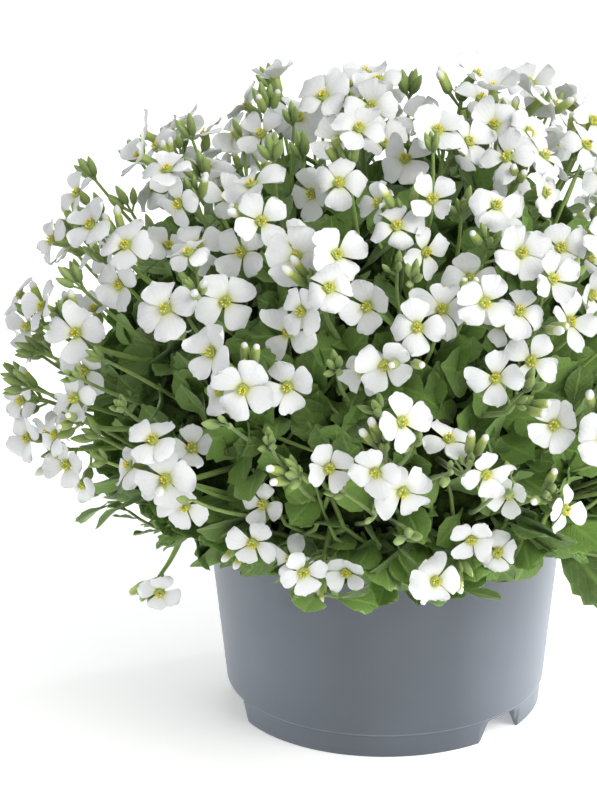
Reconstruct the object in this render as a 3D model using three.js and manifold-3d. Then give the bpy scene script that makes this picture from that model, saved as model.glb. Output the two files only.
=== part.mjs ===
// Potted aubrieta: a small nursery pot of soil, a low dome of toothed leaves on short stems, and
// white four-petalled flowers in loose heads that stand out of the leaves on all sides.
import * as THREE from 'three';
import { mergeVertices } from 'three/addons/utils/BufferGeometryUtils.js';
import Module from 'manifold-3d';

// Lengths are in millimetres and angles in degrees. The origin is on the ground under the middle
// of the pot, +Z is up, azimuth 0 is the front (-Y) and azimuth 90 is the right side (+X).
const { degToRad, lerp } = THREE.MathUtils;

// Pot
const POT_HEIGHT = 81;
const POT_RIM_RADIUS = 65;
const POT_LOWER_RADIUS = 58.1;
const POT_LOWER_HEIGHT = 11;
const POT_WALL = 1.4;
const POT_SIDES = 48;
const RIM_BEVEL = 0.6;
const FOOT_HEIGHT = 8.2;
const FOOT_RADIUS = 56.6;
const FOOT_FLARE = 0.5;
const STEP_HEIGHT = 0.9;
const STEP_SLANT = 0.3;
const FLOOR_UNDERSIDE = 8.6;
const FLOOR_THICKNESS = 1.6;
const FLOOR_CORNER = 1;
const NOTCH_HEIGHT = 8;
const NOTCH_SLANT = 4.4;
const NOTCH_CORNER = 1;
const NOTCHES = [
  { azimuth: 46.5, width: 21 },
  { azimuth: -76.5, width: 33 },
  { azimuth: 170, width: 21 },
];

// Soil
const GAP = 0.3;
const FACET_GAP = 0.1;
const SOIL_EDGE_HEIGHT = 73;
const SOIL_MIDDLE_HEIGHT = 76;
const SOIL_CORNER = 1.5;
const SOIL_SIDES = 24;

// Short stems between the soil and the leaves
const CROWN_STEMS = 7;
const CROWN_STEM_RADIUS = 3;
const CROWN_STEM_SIDES = 6;
const CROWN_STEM_RING = 30;
const CROWN_STEM_DEPTH = 14;
const CROWN_STEM_SINK = 12;

// The dome that the middles of the outermost flowers lie on
const DOME_MIDDLE = 128;
const DOME_RADIUS = 128;
const DOME_RISE = 98;
const DOME_DROP = 50;

// The dense middle of the leaves
const CORE_MIDDLE = 110;
const CORE_RADIUS = 90;
const CORE_RISE = 78;
const CORE_DROP = 27;
const CORE_FLATNESS = 0.35;
const CORE_SIDES = 16;
const CORE_TIERS = 9;

// Leaves
const LEAF_COUNT = 212;
const LEAF_LENGTH = [23, 31];
const LEAF_WIDTH = 0.54;
const LEAF_SINK = 6;
const LEAF_THICKNESS = 1.3;
const LEAF_FOLD = 0.3;
const LEAF_KEEL = 0.55;
const LEAF_OUTLINE = [[0.42, 0.36], [0.64, 0.5], [0.75, 0.33]];
const LEAF_SAMPLES = [
  [0.2, 0], [0.36, 0.22], [0.42, 0.36], [0.55, 0], [0.53, 0.43], [0.64, 0.5],
  [0.75, 0], [0.75, 0.33], [0.88, 0.16], [1, 0],
];
const LEAF_CLEARANCE = 1.8;
const STALK_CLEARANCE = 3;
const POT_MARGIN = 5;
const LEAF_TRIES = 16;

// Flower heads
const GOLDEN_ANGLE = 137.5;
const HEAD_TURN = 97;
const STEM_RADIUS = 1.1;
const STEM_GAP = 0.45;
const RACEME_RADIUS = 1.5;
const RACEME_LENGTH = [7, 1.5];
const NECK_DROP = 5;
const NECK_MARGIN = 4;
const BUD_LENGTH = 5;
const PEDICEL_LENGTH = [13, 9];
const PEDICEL_STEP = 0.12;
const PEDICEL_SPREAD = [74, 28];
const STALK_CROWD = 5;
const STALK_GROWTH = 0.08;
const PETAL_LENGTH = 9.9;
const PETAL_HALF_ANGLE = 28;
const PETAL_NOTCH_RADIUS = 3.8;
const PETAL_LIFT = 0.4;
const THROAT_DEPTH = 2.6;
const THROAT_RADIUS = 1.2;
const FLOWER_CLEARANCE = 1.5;
const LEAST_FACING = 0.55;
const FRONT_LEAN = 0.65;
const LOW_LATITUDE = -30;
const DOME_ALLOWANCE = 10;
const TRIES = 90;

// Heads that the front shows: azimuth, latitude on the dome, flowers, reach beyond the dome
const FRONT_HEADS = [
  [-92, 30, 4, 1], [-60, 36, 4, 1], [-86, 52, 4, 1], [-52, 50, 4, 1], [-102, 70, 6, 1],
  [-40, 84, 6, 1], [-12, 63, 3, 1], [5, 52, 4, 1], [26, 69, 4, 1], [110, 77, 3, 1],
  [104, 64, 3, 1.02], [80, 58, 4, 1], [42, 58, 4, 1], [22, 45, 4, 1], [40, 40, 4, 1],
  [-30, 50, 5, 1], [-12, 37, 6, 1], [-36, 33, 5, 1], [-62, 19, 4, 1], [-86, 12, 4, 1],
  [-22, 19, 4, 1], [3, 25, 3, 1], [14, 33, 3, 1], [27, 29, 4, 1], [34, 11, 3, 1],
  [0, 8, 3, 1.03], [-12, 2, 1, 1], [12, 4, 2, 1.02], [25, -10, 2, 1], [20, 15, 1, 1],
  [-56, 3, 3, 1], [-36, -5, 6, 1], [-66, -18, 3, 1.02], [-80, -6, 3, 1], [-25, -38, 2, 1.04],
  [-12, -46, 3, 1.14], [14, -44, 3, 1.1], [-58, -61, 1, 1.55],
];

// Heads on the side that the front hides
const BACK_HEADS = 19;
const BACK_FLOWERS = 8;
const BACK_REACH = 1;
const BACK_AZIMUTH = [54, 252];
const BACK_LATITUDE = [-32, 76];

// What the stems rise from, and where the flowers of the front lean
const HEART = new THREE.Vector3(0, 0, 104);
const LOW_SHOULDER = { radius: 60, height: 116 };
const LIGHT = new THREE.Vector3(0, -1, 0.3);
const UP = new THREE.Vector3(0, 0, 1);

const wasm = await Module();
wasm.setup();

// A closed geometry as a solid that can be joined and cut.
function toSolid(geometry) {
  const bare = geometry.clone();
  bare.deleteAttribute('normal');
  bare.deleteAttribute('uv');
  const merged = mergeVertices(bare, 1e-4);
  return new wasm.Manifold(new wasm.Mesh({
    numProp: 3,
    vertProperties: new Float32Array(merged.attributes.position.array),
    triVerts: new Uint32Array(merged.index.array),
  }));
}

function toGeometry(solid) {
  const { vertProperties, triVerts } = solid.getMesh();
  const geometry = new THREE.BufferGeometry();
  geometry.setAttribute('position', new THREE.BufferAttribute(vertProperties, 3));
  geometry.setIndex(new THREE.BufferAttribute(triVerts, 1));
  geometry.computeVertexNormals();
  return geometry;
}

function fromFaces(points, faces) {
  const geometry = new THREE.BufferGeometry().setFromPoints(points);
  geometry.setIndex(faces.flat());
  geometry.computeVertexNormals();
  return geometry;
}

// A profile of [radius, height] pairs turned round the pot's axis.
function turned(profile, sides) {
  const points = profile.map(([radius, height]) => new THREE.Vector2(radius, height));
  return new THREE.LatheGeometry(points, sides).rotateX(Math.PI / 2);
}

// Draws between 0 and 1 that are the same in every run.
function drawsFrom(seed) {
  let state = 1000 + 7919 * seed;
  const draw = () => {
    state = (state * 16807) % 2147483647;
    return state / 2147483647;
  };
  draw();
  draw();
  return draw;
}

function levelDirection(azimuth) {
  const turn = degToRad(azimuth);
  return new THREE.Vector3(Math.sin(turn), -Math.cos(turn), 0);
}

// The point of a dome at an azimuth and a latitude.
function domePoint(azimuth, latitude, middle, radius, rise, drop) {
  const tilt = degToRad(latitude);
  const height = middle + (latitude > 0 ? rise : drop) * Math.sin(tilt);
  return levelDirection(azimuth).multiplyScalar(radius * Math.cos(tilt)).setZ(height);
}

// The point of the dense middle, sunk under its surface. Its underside is flatter than a dome's.
function corePoint(azimuth, latitude, sunk) {
  const tilt = degToRad(latitude);
  const sine = Math.sin(tilt);
  const rise = sine > 0
    ? (CORE_RISE - sunk) * sine
    : -(CORE_DROP - sunk) * Math.abs(sine) ** CORE_FLATNESS;
  return levelDirection(azimuth).multiplyScalar((CORE_RADIUS - sunk) * Math.cos(tilt))
    .setZ(CORE_MIDDLE + rise);
}

// Two unit vectors square to a direction and to each other.
function sideAxes(direction) {
  const helper = Math.abs(direction.z) < 0.9 ? UP : new THREE.Vector3(0, 1, 0);
  const first = new THREE.Vector3().crossVectors(helper, direction).normalize();
  const second = new THREE.Vector3().crossVectors(direction, first);
  return [first, second];
}

function around(axes, turn) {
  return axes[0].clone().multiplyScalar(Math.cos(turn)).addScaledVector(axes[1], Math.sin(turn));
}

// The radius of the pot's inner face at a height.
function potInside(height) {
  const slope = (POT_RIM_RADIUS - POT_LOWER_RADIUS) / (POT_HEIGHT - POT_LOWER_HEIGHT);
  return POT_LOWER_RADIUS + slope * (height - POT_LOWER_HEIGHT) - POT_WALL;
}

function makePot() {
  const floorTop = FLOOR_UNDERSIDE + FLOOR_THICKNESS;
  const cornerTop = floorTop + FLOOR_CORNER;
  const pot = toSolid(turned([
    [0, FLOOR_UNDERSIDE],
    [FOOT_RADIUS - POT_WALL, FLOOR_UNDERSIDE],
    [FOOT_RADIUS - POT_WALL, 0],
    [FOOT_RADIUS, 0],
    [FOOT_RADIUS + FOOT_FLARE, FOOT_HEIGHT],
    [POT_LOWER_RADIUS - STEP_SLANT, FOOT_HEIGHT + STEP_HEIGHT],
    [POT_LOWER_RADIUS, POT_LOWER_HEIGHT],
    [POT_RIM_RADIUS, POT_HEIGHT - RIM_BEVEL],
    [POT_RIM_RADIUS - RIM_BEVEL, POT_HEIGHT],
    [potInside(POT_HEIGHT), POT_HEIGHT],
    [potInside(cornerTop), cornerTop],
    [potInside(cornerTop) - FLOOR_CORNER, floorTop],
    [0, floorTop],
  ], POT_SIDES));
  return toGeometry(NOTCHES.reduce((left, notch) => left.subtract(notchCutter(notch)), pot));
}

// A drain notch is a block with slanted ends, pushed through the foot from outside.
function notchCutter({ azimuth, width }) {
  const half = FOOT_RADIUS * Math.sin(degToRad(width / 2));
  const mouth = half + NOTCH_SLANT / 8;
  const top = half - NOTCH_SLANT;
  const outline = new THREE.Shape([
    new THREE.Vector2(-mouth, -1),
    new THREE.Vector2(mouth, -1),
    new THREE.Vector2(top + NOTCH_CORNER, NOTCH_HEIGHT - NOTCH_CORNER),
    new THREE.Vector2(top, NOTCH_HEIGHT),
    new THREE.Vector2(-top, NOTCH_HEIGHT),
    new THREE.Vector2(-top - NOTCH_CORNER, NOTCH_HEIGHT - NOTCH_CORNER),
  ]);
  const depth = FOOT_RADIUS * 0.4;
  const block = new THREE.ExtrudeGeometry(outline, { depth, bevelEnabled: false });
  block.rotateX(Math.PI / 2).translate(0, -FOOT_RADIUS * 0.7, 0).rotateZ(degToRad(azimuth));
  return toSolid(block);
}

function crownStemPlaces() {
  const ring = Array.from({ length: CROWN_STEMS - 1 }, (_, index) =>
    levelDirection(index * 360 / (CROWN_STEMS - 1)).multiplyScalar(CROWN_STEM_RING));
  return [new THREE.Vector3(), ...ring];
}

function crownStem(place, radius, bottom, top) {
  const stem = new THREE.CylinderGeometry(radius, radius, top - bottom, CROWN_STEM_SIDES);
  stem.rotateX(Math.PI / 2).translate(place.x, place.y, (top + bottom) / 2);
  return toSolid(stem);
}

// The soil fills the pot and has a plain hole for each short stem.
function makeSoil() {
  const bottom = FLOOR_UNDERSIDE + FLOOR_THICKNESS + GAP;
  const radiusAt = (height) => potInside(height) - GAP - FACET_GAP;
  const soil = toSolid(turned([
    [0, bottom],
    [radiusAt(bottom) - SOIL_CORNER, bottom],
    [radiusAt(bottom + SOIL_CORNER), bottom + SOIL_CORNER],
    [radiusAt(SOIL_EDGE_HEIGHT), SOIL_EDGE_HEIGHT],
    [0, SOIL_MIDDLE_HEIGHT],
  ], SOIL_SIDES));
  const holeBottom = SOIL_EDGE_HEIGHT - CROWN_STEM_DEPTH;
  const holes = crownStemPlaces().map((place) =>
    crownStem(place, CROWN_STEM_RADIUS + GAP * 1.2, holeBottom, POT_HEIGHT));
  return toGeometry(holes.reduce((left, hole) => left.subtract(hole), soil));
}

function makeCore() {
  const core = new THREE.SphereGeometry(1, CORE_SIDES, CORE_TIERS).rotateX(Math.PI / 2);
  const point = new THREE.Vector3();
  const places = core.attributes.position;
  for (let index = 0; index < places.count; index += 1) {
    point.fromBufferAttribute(places, index);
    const azimuth = Math.atan2(point.x, -point.y) * 180 / Math.PI;
    const latitude = Math.asin(THREE.MathUtils.clamp(point.z, -1, 1)) * 180 / Math.PI;
    places.setXYZ(index, ...corePoint(azimuth, latitude, 0));
  }
  return core;
}

// How far a point is from a round disc with a shallow cone behind it, such as an open flower.
function discDistance(point, disc) {
  const offset = point.clone().sub(disc.centre);
  const height = offset.dot(disc.face);
  const across = offset.addScaledVector(disc.face, -height).length();
  const cone = THROAT_DEPTH * Math.max(0, 1 - across / disc.radius);
  const gap = height > 0 ? height : Math.max(0, -height - cone);
  return Math.hypot(gap, Math.max(0, across - disc.radius));
}

function segmentDistance(point, [from, to]) {
  const along = to.clone().sub(from);
  const part = point.clone().sub(from).dot(along) / along.lengthSq();
  return point.distanceTo(from.clone().addScaledVector(along, THREE.MathUtils.clamp(part, 0, 1)));
}

// Points on a disc's edge and halfway in.
function discPoints(disc) {
  const axes = sideAxes(disc.face);
  const points = [disc.centre];
  for (let index = 0; index < 18; index += 1) {
    const spoke = around(axes, degToRad(index * 20));
    const share = index % 3 === 2 ? 0.5 : 1;
    points.push(disc.centre.clone().addScaledVector(spoke, disc.radius * share));
  }
  return points;
}

function segmentPoints([from, to], shares) {
  return shares.map((share) => from.clone().lerp(to, share));
}

// Whether a point is inside the dense middle or within a margin of it.
function isInCore(point, margin) {
  const across = Math.hypot(point.x, point.y) / (CORE_RADIUS + margin);
  const height = point.z - CORE_MIDDLE;
  return height > 0
    ? across ** 2 + (height / (CORE_RISE + margin)) ** 2 < 1
    : across ** 2 + (-height / (CORE_DROP + margin)) ** (2 / CORE_FLATNESS) < 1;
}

// Where each head stands: its tip, its axis and the lower end of its flowers.
function headFrame([azimuth, latitude, flowers, reach], index) {
  const tip = domePoint(azimuth, latitude, DOME_MIDDLE, DOME_RADIUS * reach,
    DOME_RISE * reach, DOME_DROP * reach);
  const outward = tip.clone().sub(HEART).normalize();
  const lift = THREE.MathUtils.clamp((latitude + 22) / 60, -0.6, 0.4);
  const axis = outward.clone().addScaledVector(UP, lift).normalize();
  const level = levelDirection(azimuth);
  const shoulder = level.clone().multiplyScalar(LOW_SHOULDER.radius).setZ(LOW_SHOULDER.height);
  const source = latitude < LOW_LATITUDE ? shoulder : HEART;
  let length = RACEME_LENGTH[0] + RACEME_LENGTH[1] * flowers;
  let neck = tip.clone().addScaledVector(axis, -length - NECK_DROP);
  while (isInCore(neck, NECK_MARGIN)) {
    length -= 1;
    neck = neck.clone().addScaledVector(axis, 1);
  }
  const lean = index < FRONT_HEADS.length ? FRONT_LEAN : 0;
  return { index, flowers, reach, outward, axis, neck, length, level, source, lean, blooms: [] };
}

function backHeads() {
  return Array.from({ length: BACK_HEADS }, (_, index) => {
    const share = (index + 0.5) / BACK_HEADS;
    const [low, high] = BACK_LATITUDE.map((angle) => Math.sin(degToRad(angle)));
    const latitude = Math.asin(lerp(low, high, share)) * 180 / Math.PI;
    const azimuth = lerp(...BACK_AZIMUTH, (index * GOLDEN_ANGLE / 360 + 0.2) % 1);
    return [azimuth, latitude, BACK_FLOWERS, BACK_REACH];
  });
}

// The triangles of a head's stem that stalks grow from, with their turn and height up the stem.
const STALK_SLOTS = [1, 2].flatMap((ring) => [0, 1, 2].flatMap((corner) => {
  const face = 1 + 6 * ring + 2 * corner;
  const turn = 120 * corner + 60 * ring;
  const height = (ring - 1) / 2;
  return [
    { face, turn, height: height + 1 / 6 },
    { face: face + 1, turn: turn + 60, height: height + 1 / 3 },
  ];
}));

function turnsApart(one, other) {
  return Math.abs(((one - other) % 360 + 540) % 360 - 180);
}

// One try at a flower of a head: lower flowers stand on longer and wider spread stalks.
function tryBloom(head, order, attempt, draw) {
  const share = head.flowers === 1 ? 0.6 : order / (head.flowers - 1);
  const wanted = head.index * HEAD_TURN + order * GOLDEN_ANGLE + 50 * (draw() - 0.5) + 31 * attempt;
  const misfit = (slot) =>
    turnsApart(wanted, slot.turn) / 60 + Math.abs(slot.height - lerp(0.2, 0.8, share)) * 3;
  const slot = STALK_SLOTS.filter(({ face }) => head.blooms.every((bloom) => bloom.slot !== face))
    .reduce((one, other) => (misfit(other) < misfit(one) ? other : one));
  const spread = degToRad(lerp(...PEDICEL_SPREAD, share) + 16 * (draw() - 0.5));
  const growth = 1 + Math.max(0, head.flowers - STALK_CROWD) * STALK_GROWTH;
  const change = PEDICEL_STEP * attempt * (attempt % 2 ? 1 : -0.5);
  const length = (lerp(...PEDICEL_LENGTH, share) + 3 * (draw() - 0.5) + change) * growth;
  const side = around(sideAxes(head.axis), degToRad(slot.turn + 36 * (draw() - 0.5)));
  const foot = head.neck.clone().addScaledVector(head.axis, slot.height * head.length)
    .addScaledVector(side, RACEME_RADIUS / 2);
  const way = side.multiplyScalar(Math.sin(spread)).addScaledVector(head.axis, Math.cos(spread));
  const centre = foot.clone().addScaledVector(way, length);
  const wobble = new THREE.Vector3(draw() - 0.5, draw() - 0.5, draw() - 0.5);
  const face = way.clone().multiplyScalar(0.85).addScaledVector(head.outward, 0.5)
    .addScaledVector(head.level, 0.35).addScaledVector(LIGHT, head.lean)
    .addScaledVector(wobble, 0.9).normalize();
  const radius = PETAL_LENGTH * lerp(0.9, 1.06, draw());
  const spin = draw() * Math.PI / 2;
  const place = { slot: slot.face, foot, way, centre };
  return { head: head.index, reach: head.reach, ...place, face, radius, spin };
}

function bloomIsClear(bloom, blooms, stems) {
  if (bloom.face.dot(bloom.way) < LEAST_FACING || isBeyondDome(bloom)) {
    return false;
  }
  const points = discPoints(bloom);
  const stalkPoints = stalkOf(bloom);
  const besideBlooms = blooms.every((other) => {
    const room = other.head === bloom.head ? 0.5 * FLOWER_CLEARANCE : FLOWER_CLEARANCE;
    return points.every((point) => discDistance(point, other) > room)
      && discPoints(other).every((point) => discDistance(point, bloom) > room)
      && stalkPoints.every((point) => discDistance(point, other) > room + THROAT_RADIUS)
      && stalkOf(other).every((point) => discDistance(point, bloom) > room + THROAT_RADIUS);
  });
  return besideBlooms && stems.every((ends) => segmentPoints(ends, [0, 0.2, 0.4, 0.6, 0.8, 1])
    .every((point) => discDistance(point, bloom) > FLOWER_CLEARANCE + STEM_RADIUS));
}

// Whether a flower stands out of the dome, made larger by its head's reach.
function isBeyondDome({ centre, reach }) {
  const across = Math.hypot(centre.x, centre.y) / (DOME_RADIUS * reach + DOME_ALLOWANCE);
  const height = centre.z - DOME_MIDDLE;
  const span = (height > 0 ? DOME_RISE : DOME_DROP) * reach + DOME_ALLOWANCE;
  return across ** 2 + (height / span) ** 2 > 1;
}

function stalkOf(bloom) {
  const throat = bloom.centre.clone().addScaledVector(bloom.face, -THROAT_DEPTH);
  return segmentPoints([bloom.foot, throat], [0.3, 0.5, 0.7, 0.9]);
}

// The straight stretches of a head's stem, below and beside its flowers.
function stemStretches(head) {
  const bud = head.neck.clone().addScaledVector(head.axis, head.length + BUD_LENGTH);
  return [[head.neck.clone().lerp(head.source, 0.25), head.neck], [head.neck, bud]];
}

function placeBlooms(heads) {
  const stems = heads.flatMap(stemStretches);
  const blooms = [];
  for (const head of heads) {
    const draw = drawsFrom(head.index);
    for (let order = 0; order < head.flowers; order += 1) {
      for (let attempt = 0; attempt < TRIES; attempt += 1) {
        const bloom = tryBloom(head, order, attempt, draw);
        if (bloomIsClear(bloom, blooms, stems)) {
          blooms.push(bloom);
          head.blooms.push(bloom);
          break;
        }
      }
    }
  }
  return blooms;
}

// Three points round a stem, turned half a step on every second ring.
function ringPoints(centre, direction, reference, radius, halfStep) {
  const first = reference.clone().projectOnPlane(direction).normalize();
  const axes = [first, new THREE.Vector3().crossVectors(direction, first)];
  return [0, 1, 2].map((corner) => centre.clone().addScaledVector(
    around(axes, (corner + halfStep / 2) * Math.PI * 2 / 3), radius));
}

// A flower head is a three-sided stem with a bud at its tip and a stalked flower grown from one
// of its triangles for each bloom.
function makeHead(head, core) {
  const { neck, axis, length } = head;
  const inward = head.source.clone().sub(neck).normalize();
  const stemAxis = inward.clone().negate();
  const bend = stemAxis.clone().add(axis).normalize();
  const [reference] = sideAxes(axis);
  const middle = neck.clone().addScaledVector(axis, length / 2);
  const top = neck.clone().addScaledVector(axis, length);
  const points = [
    ...stemFoot(ringPoints(neck, stemAxis, reference, STEM_RADIUS, 1), inward, core),
    ...ringPoints(neck, bend, reference, STEM_RADIUS, 0),
    ...ringPoints(middle, axis, reference, RACEME_RADIUS, 1),
    ...ringPoints(top, axis, reference, RACEME_RADIUS * 1.2, 0),
    top.clone().addScaledVector(axis, BUD_LENGTH),
  ];
  const faces = [[2, 1, 0]];
  for (let ring = 0; ring < 3; ring += 1) {
    const shift = ring === 1 ? 0 : 1;
    for (let corner = 0; corner < 3; corner += 1) {
      const below = [corner, corner + 1].map((step) => ring * 3 + step % 3);
      const above = [corner, corner + 1].map((step) => ring * 3 + 3 + (step + shift) % 3);
      faces.push([below[0], below[1], above[0]], [below[1], above[1], above[0]]);
    }
  }
  for (let corner = 0; corner < 3; corner += 1) {
    faces.push([9 + corner, 9 + (corner + 1) % 3, 12]);
  }
  head.blooms.forEach((bloom) => growBloom(points, faces, bloom));
  return fromFaces(points, faces);
}

// The foot of a stem stops just short of the dense leaves, at each of its corners.
function stemFoot(corners, inward, core) {
  return corners.map((corner) => {
    const [hit] = new THREE.Raycaster(corner, inward).intersectObject(core);
    const slant = Math.abs(hit.face.normal.dot(inward));
    return corner.clone().addScaledVector(inward, hit.distance - STEM_GAP / slant);
  });
}

// The triangle of the stem in a flower's slot gives way to its stalk and flower.
function growBloom(points, faces, bloom) {
  const root = faces[bloom.slot];
  const throatAxis = bloom.way.clone().add(bloom.face).normalize();
  const throatMiddle = bloom.centre.clone().addScaledVector(bloom.face, -THROAT_DEPTH);
  const throat = throatCorners(throatMiddle, throatAxis, points, root);
  const first = points.length;
  points.push(...throat);
  faces[bloom.slot] = [root[0], root[1], first + 1];
  faces.push([root[0], first + 1, first]);
  for (const corner of [1, 2]) {
    const next = (corner + 1) % 3;
    faces.push([root[corner], root[next], first + next]);
    faces.push([root[corner], first + next, first + corner]);
  }
  addPetals(points, faces, bloom, first);
}

// The turn of the throat's triangle that twists the stalk least.
function throatCorners(middle, axis, points, root) {
  const options = [0, 1, 2, 3, 4, 5].map((turn) => {
    const axes = sideAxes(axis);
    return [0, 1, 2].map((corner) => middle.clone().addScaledVector(
      around(axes, (corner + turn / 6) * Math.PI * 2 / 3), THROAT_RADIUS));
  });
  const allTurns = options.flatMap((corners) => [0, 1, 2].map((shift) =>
    [0, 1, 2].map((corner) => corners[(corner + shift) % 3])));
  const twist = (corners) => corners.reduce((sum, corner, index) =>
    sum + corner.distanceTo(points[root[index]]), 0);
  return allTurns.reduce((one, other) => (twist(other) < twist(one) ? other : one));
}

// Four petals round a throat, each a flat blade with a keel under it.
function addPetals(points, faces, bloom, throat) {
  const axes = sideAxes(bloom.face);
  const addPoint = (turn, radius, height) => {
    const spoke = around(axes, bloom.spin + degToRad(turn));
    points.push(bloom.centre.clone().addScaledVector(spoke, radius)
      .addScaledVector(bloom.face, height));
    return points.length - 1;
  };
  const tipRadius = bloom.radius * 0.94;
  const petals = [0, 1, 2, 3].map((petal) => {
    const turn = petal * 90;
    return {
      notch: addPoint(turn - 45, PETAL_NOTCH_RADIUS, -0.2),
      left: addPoint(turn - PETAL_HALF_ANGLE, tipRadius, PETAL_LIFT),
      right: addPoint(turn + PETAL_HALF_ANGLE, tipRadius, PETAL_LIFT),
      turn,
    };
  });
  const edge = [];
  const notches = petals.map(({ notch }) => notch);
  faces.push([notches[0], notches[1], notches[2]], [notches[0], notches[2], notches[3]]);
  petals.forEach(({ notch, left, right, turn }, petal) => {
    faces.push([notch, left, right], [notch, right, notches[(petal + 1) % 4]]);
    edge.push({ point: notch, turn: turn - 45 });
    edge.push({ point: left, turn: turn - PETAL_HALF_ANGLE });
    edge.push({ point: right, turn: turn + PETAL_HALF_ANGLE });
  });
  const corners = [0, 1, 2].map((corner) => {
    const offset = points[throat + corner].clone().sub(bloom.centre);
    const turn = Math.atan2(offset.dot(axes[1]), offset.dot(axes[0])) - bloom.spin;
    return { point: throat + corner, turn: turn * 180 / Math.PI };
  });
  const nearest = edge.map(({ turn }, index) => {
    const next = edge[(index + 1) % edge.length].turn;
    const between = turn + (((next - turn) % 360 + 360) % 360) / 2;
    return corners.reduce((one, other) =>
      (turnsApart(other.turn, between) < turnsApart(one.turn, between) ? other : one));
  });
  edge.forEach(({ point }, index) => {
    const next = edge[(index + 1) % edge.length].point;
    const own = nearest[index].point;
    const after = nearest[(index + 1) % edge.length].point;
    faces.push([next, point, own]);
    if (after !== own) {
      faces.push([next, own, after]);
    }
  });
}

// A toothed leaf: its root in the dense middle, its blade folded along the midrib.
function tryLeaf(index, count, draw) {
  const share = (index + 0.5) / count;
  const latitude = Math.asin(lerp(-0.75, 0.95, share)) * 180 / Math.PI + 6 * (draw() - 0.5);
  const azimuth = index * GOLDEN_ANGLE + 8 * (draw() - 0.5);
  const sunk = corePoint(azimuth, latitude, LEAF_SINK);
  const outward = new THREE.Vector3(sunk.x / CORE_RADIUS ** 2, sunk.y / CORE_RADIUS ** 2,
    (sunk.z - CORE_MIDDLE) / (latitude > 0 ? CORE_RISE : CORE_DROP) ** 2).normalize();
  const axes = sideAxes(outward);
  const lean = around(axes, Math.PI / 2 + (draw() - 0.5) * (latitude > -10 ? 4.6 : 2));
  const stand = latitude > -10 ? lerp(0.6, 1.3, draw()) : lerp(0.9, 1.5, draw());
  const way = lean.multiplyScalar(0.8).addScaledVector(outward, stand).normalize();
  const width = new THREE.Vector3().crossVectors(way, outward).normalize();
  width.applyAxisAngle(way, 0.9 * (draw() - 0.5));
  const face = new THREE.Vector3().crossVectors(width, way).normalize();
  return { root: sunk, way, width, face, length: lerp(...LEAF_LENGTH, draw()) };
}

function leafPoint(leaf, along, across, height) {
  const offset = across * leaf.length * LEAF_WIDTH;
  return leaf.root.clone().addScaledVector(leaf.way, along * leaf.length)
    .addScaledVector(leaf.width, offset)
    .addScaledVector(leaf.face, height + LEAF_FOLD * Math.abs(offset));
}

function leafIsClear(leaf, blooms, stems) {
  const samples = LEAF_SAMPLES.flatMap(([along, across]) =>
    [leafPoint(leaf, along, across, 0), leafPoint(leaf, along, -across, 0)]);
  const besidePot = (point) => Math.hypot(point.x, point.y) > POT_RIM_RADIUS + POT_MARGIN;
  return samples.every((point) => point.z > POT_HEIGHT + 1 || besidePot(point))
    && blooms.every((bloom) => samples.every((point) =>
      discDistance(point, bloom) > LEAF_CLEARANCE
      && segmentDistance(point, [bloom.foot, bloom.centre]) > STALK_CLEARANCE))
    && stems.every((ends) => samples.every((point) =>
      segmentDistance(point, ends) > STALK_CLEARANCE));
}

function makeLeaf(leaf) {
  const points = [leafPoint(leaf, 0, 0, 0)];
  LEAF_OUTLINE.forEach(([along, across]) => points.push(leafPoint(leaf, along, across, 0)));
  points.push(leafPoint(leaf, 1, 0, 0));
  LEAF_OUTLINE.slice().reverse().forEach(([along, across]) =>
    points.push(leafPoint(leaf, along, -across, 0)));
  points.push(leafPoint(leaf, LEAF_KEEL, 0, -LEAF_THICKNESS));
  const faces = [[0, 1, 4], [1, 2, 3], [1, 3, 4], [0, 4, 7], [4, 5, 7], [5, 6, 7]];
  for (let corner = 0; corner < 8; corner += 1) {
    faces.push([(corner + 1) % 8, corner, 8]);
  }
  return toSolid(fromFaces(points, faces));
}

function makeFoliage(core, heads, blooms) {
  const stems = heads.flatMap(stemStretches);
  const leaves = [];
  for (let index = 0; index < LEAF_COUNT; index += 1) {
    const draw = drawsFrom(500 + index);
    for (let attempt = 0; attempt < LEAF_TRIES; attempt += 1) {
      const leaf = tryLeaf(index, LEAF_COUNT, draw);
      if (leafIsClear(leaf, blooms, stems)) {
        leaves.push(leaf);
        break;
      }
    }
  }
  const stemBottom = SOIL_EDGE_HEIGHT - CROWN_STEM_DEPTH + GAP;
  const stemTop = CORE_MIDDLE - CORE_DROP + CROWN_STEM_SINK;
  const crown = crownStemPlaces().map((place) =>
    crownStem(place, CROWN_STEM_RADIUS, stemBottom, stemTop));
  const solids = [toSolid(core.geometry), ...crown, ...leaves.map(makeLeaf)];
  return toGeometry(wasm.Manifold.union(solids));
}

const plant = new THREE.Group();

function addPiece(name, geometry, colour, roughness) {
  const material = new THREE.MeshStandardMaterial({ color: colour, roughness, metalness: 0 });
  const mesh = new THREE.Mesh(geometry, material);
  mesh.name = name;
  plant.add(mesh);
}

const core = new THREE.Mesh(makeCore());
const heads = [...FRONT_HEADS, ...backHeads()].map(headFrame);
const blooms = placeBlooms(heads);

addPiece('pot', makePot(), '#707782', 0.5);
addPiece('soil', makeSoil(), '#3a2a1e', 0.95);
addPiece('foliage', makeFoliage(core, heads, blooms), '#4c7a35', 0.7);
heads.forEach((head, index) => {
  addPiece(`flower_head_${String(index + 1).padStart(2, '0')}`, makeHead(head, core), '#f4f5f2', 0.6);
});

export default plant;
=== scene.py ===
"""Potted aubrieta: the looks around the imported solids.

The stems, flowers and large leaves are read from the solids, and finer pieces of the same form
stand for them. Lengths are in metres, and azimuth 0 is the front (-Y), 90 the right side (+X)."""

import math

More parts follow.
